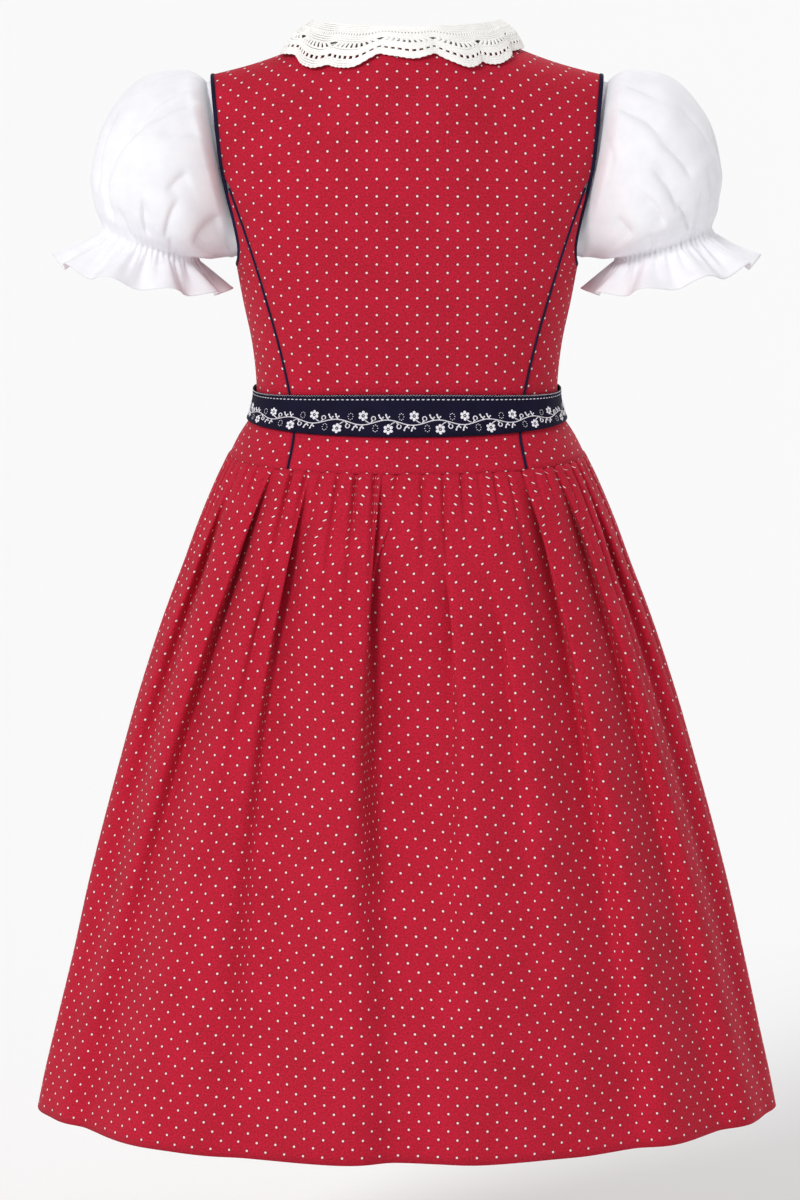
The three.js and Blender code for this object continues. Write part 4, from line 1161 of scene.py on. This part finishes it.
rows_at_arm = np.linspace(BLOUSE_UNDERARM_Z + 3, SIDE_TOP_Z, 14)
BLOUSE_ROWS = np.concatenate([rows_below_arm, rows_at_arm])


def blouse_edge(side):
    def edge(z):
        if z <= BLOUSE_UNDERARM_Z:
            return side_line(z) - BLOUSE_INSET
        return float(read(BLOUSE_ARMHOLE, z, DEPTH[side]))
    return edge


for side in (BACK, FRONT):
    edge = blouse_edge(side)
    net = panel_net(side, edge, lambda z: -edge(z), 81, rows=BLOUSE_ROWS, rises=SHOULDER_ROWS,
                    neck=BLOUSE_NECK, inset=BLOUSE_INSET)
    panel = cloth_piece(f"blouse_cloth_{DEPTH[side]}", net, WHITE_COTTON)
    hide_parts(f"blouse_{DEPTH[side]}")
    declare(panel, net)

# %% [markdown]
# The neckband stands up from the neck of the blouse. The lace collar is sewn to its top edge.

# %% Neckband
def neckband_top(turn):
    """The neckband's top edge at each turn round the neck, from the left side over the back."""
    x = NECKBAND_TOP["half_width"] * np.cos(turn)
    y = by_side(turn, NECKBAND_DEEP.get) * np.sin(turn)
    z = by_side(turn, lambda side: neck_height(NECKBAND_TOP, x, side))
    return np.stack([x, y, z], axis=-1)


def blouse_depth(x, z, turn):
    """How far back the blouse lies. In front it is less than nothing."""
    return by_side(turn, lambda side: side * body_depth(x, z, side, BLOUSE_INSET))


neck_turns = np.linspace(0, 2 * math.pi, 120, endpoint=False)
neck_x = BLOUSE_NECK["half_width"] * np.cos(neck_turns)
neck_z = by_side(neck_turns, lambda side: neck_height(BLOUSE_NECK, neck_x, side)) + NECKBAND_GAP
neck_bottom = np.stack([neck_x, blouse_depth(neck_x, neck_z, neck_turns), neck_z], axis=-1)
neck_rise = np.linspace(0, 1, 9)[:, None, None]
neck_net = mix(neck_bottom[None], neckband_top(neck_turns)[None] + SEWN_TO_LACE, neck_rise)
neckband = cloth_piece("neckband_cloth", neck_net, WHITE_COTTON, thick=0.8, closed=True)
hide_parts("blouse_neckband")
declare(neckband, np.concatenate([neck_net, neck_net[:, :1]], axis=1))

# %% [markdown]
# ## Puff sleeves
# Each sleeve is one wide piece, gathered into the armhole and drawn together above its edge on an
# elastic thread, so the last two centimetres stand out as a frill. The rings run from the armhole, where
# t is 0, to the elastic, where t is 0.8, and on to the frill's edge. A ring's turn goes from under the
# arm over the back.
#
# Each sleeve has its own creases behind, and both have the same ones in front, where the photo shows
# none. A row of such a table is one crease: the turn in degrees where it starts and ends, its t there,
# half its width in degrees and its depth. One of its sides is steep and the other long.

# %% Sizes and creases of the sleeves
SLEEVE = dict(
    t=[0.0, 0.12, 0.27, 0.42, 0.57, 0.68, 0.75, 0.8],
    inner_x=[121, 124, 128, 133, 139, 145, 149, 148],
    inner_z=[-149, -151, -151.5, -152, -152, -151, -151, -154],
    outer_x=[143.5, 158, 189, 215, 225, 222, 217, 219],
    outer_z=[-22, -17, -24, -53, -89, -115, -129, -134],
    deep=[40, 49, 57, 60, 55, 44, 35, 36],
)
FRILL_DROP = 15.5
FRILL_LONGER = 0.75
FRILL_SPREAD = 24
FRILL_WAVE = 4.5
FRILL_WAVES = 10
BACK_CREASES = {
    "left": dict(
        at=[137, 131, 141, 164, 180, 152, 101, 91, 81, 60, 119, 112, 70, 146],
        end=[128, 141, 130, 150, 166, 134, 90, 89, 73, 50, 106, 118, 62, 150],
        start=[0.08, 0.25, 0.52, 0.36, 0.05, 0.08, 0.48, 0.22, 0.33, 0.08, 0.6, 0.1, 0.55, 0.6],
        stop=[0.3, 0.6, 0.68, 0.62, 0.3, 0.36, 0.66, 0.38, 0.62, 0.5, 0.74, 0.3, 0.74, 0.76],
        wide=[4, 4.5, 4, 4.5, 6, 5, 3.5, 4, 4, 6, 3.5, 5, 4, 4],
        deep=[4.0, 6.0, 6.0, 5.0, 3, 4, 4.2, 2.6, 3, 3.6, 3.4, 2.4, 2.4, 2.4],
    ),
    "right": dict(
        at=[134, 117, 118, 101, 104, 86, 173, 157, 64, 150, 76, 128, 140],
        end=[118, 123, 94, 104, 116, 89, 178, 143, 63, 156, 72, 122, 146],
        start=[0.06, 0.3, 0.04, 0.32, 0.52, 0.34, 0.4, 0.06, 0.28, 0.3, 0.56, 0.56, 0.5],
        stop=[0.34, 0.5, 0.16, 0.58, 0.7, 0.6, 0.7, 0.26, 0.5, 0.5, 0.74, 0.74, 0.74],
        wide=[6, 5, 5, 4.5, 3.5, 4, 6, 5, 7, 6, 4, 3.5, 4],
        deep=[3.4, 3, 2, 4.4, 4.2, 3.6, 3.6, 2.4, 2.6, 2.2, 2.0, 2.4, 2.2],
    ),
}
FRONT_CREASES = dict(
    at=[222, 258, 292, 236, 206, 275, 310, 245, 195, 270],
    end=[212, 264, 284, 228, 214, 268, 300, 238, 190, 276],
    start=[0.1, 0.5, 0.2, 0.45, 0.02, 0.05, 0.4, 0.12, 0.3, 0.56],
    stop=[0.62, 0.76, 0.66, 0.76, 0.26, 0.4, 0.76, 0.42, 0.6, 0.76],
    wide=[5.5, 4.5, 5.5, 4, 5, 5, 5, 4.5, 5, 3.5],
    deep=[4.2, 3.6, 4, 2.4, 2, 2, 2.4, 2, 2, 2.8],
)
STEEP_SIDE = 0.6
LONG_SIDE = 2.2
ELASTIC_T = 0.8
JOINED_T = 0.12
SLEEVE_COLUMNS = 340
FLUTES = 27
FLUTE_DEPTH = 1.3
CUFF_GATHERS = 54
ARMHOLE_GATHERS = 30
print("creases behind:", {word: len(table["at"]) for word, table in BACK_CREASES.items()})

# %% [markdown]
# A ring is an oval between the sleeve's inner and outer line. Gathers, creases, the frill's waves and a
# slight unevenness move it in and out. Close to the armhole it turns into the blouse's own edge.

# %% Rings of a sleeve
def blouse_armhole(turn):
    """The blouse's left armhole, a seam's gap away from its edge."""
    z = mix(BLOUSE_UNDERARM_Z + 0.3, BLOUSE_ARMHOLE["z"][0], (1 - np.cos(turn)) / 2)
    x = by_side(turn, lambda side: read(BLOUSE_ARMHOLE, z, DEPTH[side])) + 0.4
    return np.stack([x, blouse_depth(x, z, turn), z], axis=-1)


def sleeve_creases(table, t, turn):
    out = np.zeros_like(turn)
    degrees = np.degrees(turn)
    for i in range(len(table["at"])):
        crease = {key: values[i] for key, values in table.items()}
        along = (t - crease["start"]) / (crease["stop"] - crease["start"])
        middle = mix(crease["at"], crease["end"], along)
        length = ease(along / 0.35 + 0.15) * ease((1 - along) / 0.35 + 0.15)
        steep_way = 1 if crease["end"] > 150 or crease["end"] < 100 else -1
        past = (degrees - middle) / crease["wide"] * steep_way
        away = np.where(past > 0, past / STEEP_SIDE, -past / LONG_SIDE)
        out -= crease["deep"] * length * np.exp(-away ** 1.3)
    return out


def gathered(turn, count, depths, reaches):
    """Narrow valleys of uneven depth, count of them round. Each reaches its own share of the way."""
    phase = count * turn + 0.8 * np.sin(3 * turn + 1)
    number = np.floor(phase / (2 * math.pi)).astype(int) % count
    valley = ((1 - np.cos(phase)) / 2) ** 2
    return (0.35 * depths.mean() - depths[number] * valley) * reaches[number]


def sleeve_ring(t, frill, creases, cuff_depth, cuff_reach, armhole_depth):
    """A ring of the left sleeve at t. frill says how far along the frill it lies, from 0 to 1."""
    size = {column: float(read(SLEEVE, t, column, "t")) for column in SLEEVE}
    inner = np.array([size["inner_x"], 0, size["inner_z"]])
    outer = np.array([size["outer_x"], 0, size["outer_z"]])
    middle = (inner + outer) / 2
    half = outer - middle
    reach = np.linalg.norm(half)
    along = half / reach
    drop = np.array([along[2], 0, -along[0]])
    turn = np.arange(SLEEVE_COLUMNS) / SLEEVE_COLUMNS * 2 * math.pi
    wave = FRILL_WAVE * frill * np.cos(FRILL_WAVES * turn + 0.6 * np.sin(2 * turn))
    fluted = FLUTE_DEPTH * math.sin(math.pi * min(frill, 1) ** 0.7)
    flutes = fluted * np.cos(FLUTES * turn + 2 * np.sin(3 * turn))
    near_cuff = np.exp(-abs(t - 0.775) / cuff_reach) * math.exp(-frill / 0.4)
    near_armhole = np.full(ARMHOLE_GATHERS, math.exp(-t / 0.07))
    gathers = gathered(turn, CUFF_GATHERS, cuff_depth, near_cuff)
    gathers += gathered(turn, ARMHOLE_GATHERS, armhole_depth, near_armhole)
    swell = 1.1 * np.sin(3 * turn + 7 * t + 1) + 0.8 * np.sin(5 * turn - 9 * t)
    uneven = math.sin(math.pi * t / ELASTIC_T) * swell
    creased = (1 - float(ease(frill / 0.2))) * sleeve_creases(creases, t, turn)
    spread = FRILL_SPREAD * frill ** 1.1 + wave + flutes + gathers + uneven + creased
    ring = middle - np.cos(turn)[:, None] * (reach + spread)[:, None] * along
    ring[:, 1] = np.sin(turn) * (size["deep"] + spread)
    longer = 1 + FRILL_LONGER * (1 - np.cos(turn)) / 2
    ring += (FRILL_DROP * longer * frill - wave * 0.7)[:, None] * drop
    return mix(ring, blouse_armhole(turn), 1 - float(ease(t / JOINED_T)))


print("a ring has", SLEEVE_COLUMNS, "points and", CUFF_GATHERS, "gathers at the cuff")

# %% [markdown]
# The right sleeve is mirrored, with creases behind and gathers of its own.

# %% Both sleeves
for hand, word in ((1, "left"), (-1, "right")):
    creases = {key: BACK_CREASES[word][key] + FRONT_CREASES[key] for key in FRONT_CREASES}
    own = (creases, seeded.uniform(0.9, 3.2, CUFF_GATHERS), seeded.uniform(0.02, 0.08, CUFF_GATHERS),
           seeded.uniform(0.3, 1.6, ARMHOLE_GATHERS))
    puff = [sleeve_ring(t, 0, *own) for t in np.linspace(0, ELASTIC_T, 84)]
    frill = [sleeve_ring(ELASTIC_T, share, *own) for share in np.linspace(0, 1, 22)[1:]]
    net = np.array(puff + frill) * np.array([hand, 1, 1])
    sleeve = cloth_piece(f"sleeve_cloth_{word}", net, WHITE_COTTON, closed=True,
                         centre=(175 * hand, 0, -95))
    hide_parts(f"sleeve_{word}")
    all_round = np.concatenate([net, net[:, :1]], axis=1)
    declare(sleeve, all_round)

# %% [markdown]
# ## The lace collar
# A broad edging of white cotton lace is sewn to the neckband, folds over it and falls on the dress, with
# a scalloped edge. It is crocheted in rounds of thick thread, with a row of slots, a row of fans and a
# row of holes between them.

# %% Collar
COLLAR_EDGE = {BACK: 60, FRONT: 73}
COLLAR_HALF_WIDTH = 88
COLLAR_RAISE = 2.4
COLLAR_LIFT = 2.6
COLLAR_ARCH = 2.5
COLLAR_OPENING = math.radians(1.2)
COLLAR_SLIP = 4
COLLAR_WAVE = 1.1
SCALLOPS = 13
SCALLOP_DEPTH = 5
SCALLOP_SKEW = 1.35


def draped_on_dress(x, y, lift):
    """A point that lies on the dress, or lift above it, over a place in the plan."""
    top_row = {column: values[0] for column, values in BODY.items()}

    def height(u, v):
        across = np.clip(np.abs(u) / top_row["half_width"], 0, 1) ** top_row["square"]
        deep = np.where(v >= 0, top_row["back"], top_row["front"]) * (1 - across) ** (1 / top_row["square"])
        return shoulder_line(u) - SHOULDER_ROUND * (1 - np.sqrt(np.clip(1 - (v / deep) ** 2, 0, 1)))
    slope_x = height(x + 0.5, y) - height(x - 0.5, y)
    slope_y = height(x, y + 0.5) - height(x, y - 0.5)
    normal = unit(np.stack([-slope_x, -slope_y, np.ones_like(x)], axis=-1))
    return np.stack([x, y, height(x, y)], axis=-1) + normal * lift


def collar_wave(along):
    """Each scallop rises slowly and drops quickly to the next, so that it seems to lie over it."""
    return -(np.sin(2 * math.pi * along) + 0.5 * np.sin(4 * math.pi * along)) / 1.3


def collar_place(along, share):
    """A place on the collar: along counts scallops from the left front end, share goes from neck to edge."""
    turn = mix(-math.pi / 2 + COLLAR_OPENING, 1.5 * math.pi - COLLAR_OPENING, along / SCALLOPS)
    lobe = np.sin(math.pi * (along % 1) ** SCALLOP_SKEW)
    reach = 1 - SCALLOP_DEPTH * (1 - lobe) / COLLAR_HALF_WIDTH
    start = neckband_top(turn) + np.array([0, 0, COLLAR_RAISE])
    x = (COLLAR_HALF_WIDTH - 2 + COLLAR_SLIP * np.cos(turn)) * reach * np.cos(turn)
    y = by_side(turn, COLLAR_EDGE.get) * reach * np.sin(turn)
    end = draped_on_dress(x, y, COLLAR_LIFT)
    arch = unit(np.stack([np.cos(turn), np.sin(turn), np.full_like(turn, 1.2)], axis=-1))
    raised = COLLAR_ARCH * np.sin(math.pi * share) + COLLAR_WAVE * collar_wave(along) * share ** 2
    return mix(start, end, share[..., None]) + arch * raised[..., None]


print("collar:", SCALLOPS, "scallops, each", SCALLOP_DEPTH, "mm deep")

# %% [markdown]
# The lace is made of flattened threads. Rounds follow the neck, posts part the slots and the holes, and
# ribs spread out like fans. The rounds and rows are given as shares of the way from the neck to the edge.

# %% Lace
SLOT_ROW = (0.22, 0.32)
FAN_ROW = (0.47, 0.61)
HOLE_ROW = (0.74, 0.845)
ROUNDS = [
    0.02, 0.07, 0.12, 0.17, SLOT_ROW[0], SLOT_ROW[1], 0.37, 0.42, FAN_ROW[0], FAN_ROW[1],
    0.66, 0.70, HOLE_ROW[0], HOLE_ROW[1], 0.89, 0.935, 0.975,
]
FAN_RIBS = 9
FAN_FOOT_PITCH = 0.085
FAN_HEAD_PITCH = 0.118
FAN_THREAD_RADIUS = 1.25
THREAD_RADIUS = 0.84
THREAD_FLATNESS = 0.42
POINTS_PER_SCALLOP = 40


def lace_line(along, share):
    """The path of a thread on the collar, and the lace's outward direction along it."""
    along, share = np.broadcast_arrays(np.asarray(along, float), np.asarray(share, float))
    place = collar_place(along, share)
    round_way = collar_place(along + 0.02, share) - collar_place(along - 0.02, share)
    outwards = collar_place(along, share + 0.02) - collar_place(along, share - 0.02)
    normal = unit(np.cross(round_way, outwards))
    upwards = normal[:, 2] + (normal[:, :2] * place[:, :2]).sum(axis=1) / COLLAR_HALF_WIDTH
    return place, normal * np.where(upwards > 0, 1, -1)[:, None]


def lace_thread(along, share, radius):
    """One flattened thread of the lace, as tubes_piece takes it."""
    path, ups = lace_line(along, share)
    return tube_rings(path, ups, radius, np.asarray(radius) * THREAD_FLATNESS, sides=6), False


lace = []
round_along = np.linspace(0.01, SCALLOPS - 0.01, SCALLOPS * POINTS_PER_SCALLOP)
for share in ROUNDS[:-1]:
    lace.append(lace_thread(round_along, share, THREAD_RADIUS))
picots = THREAD_RADIUS * (0.9 + 0.3 * np.cos(2 * math.pi * 10 * round_along))
lace.append(lace_thread(round_along, ROUNDS[-1], picots))
for (low, high), per_scallop, radius in ((SLOT_ROW, 15, 0.95), (HOLE_ROW, 8, 1.3)):
    for along in (np.arange(SCALLOPS * per_scallop) + 0.5) / per_scallop:
        lace.append(lace_thread(along, np.linspace(low, high, 4), radius))
for scallop in range(SCALLOPS):
    for rib in np.arange(FAN_RIBS) - FAN_RIBS // 2:
        foot = scallop + 0.5 + rib * FAN_FOOT_PITCH
        head = scallop + 0.5 + rib * FAN_HEAD_PITCH
        lace.append(lace_thread(np.linspace(foot, head, 5), np.linspace(*FAN_ROW, 5), FAN_THREAD_RADIUS))
collar = tubes_piece("lace_collar_thread", lace, WHITE_THREAD)
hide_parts("lace_collar")
along, share = np.meshgrid(np.linspace(0, SCALLOPS, SCALLOPS * 12 + 1), np.linspace(0, 1, 12))
declare(collar, collar_place(along, share))
print("lace:", len(lace), "threads and posts,", len(collar.data.polygons), "faces")
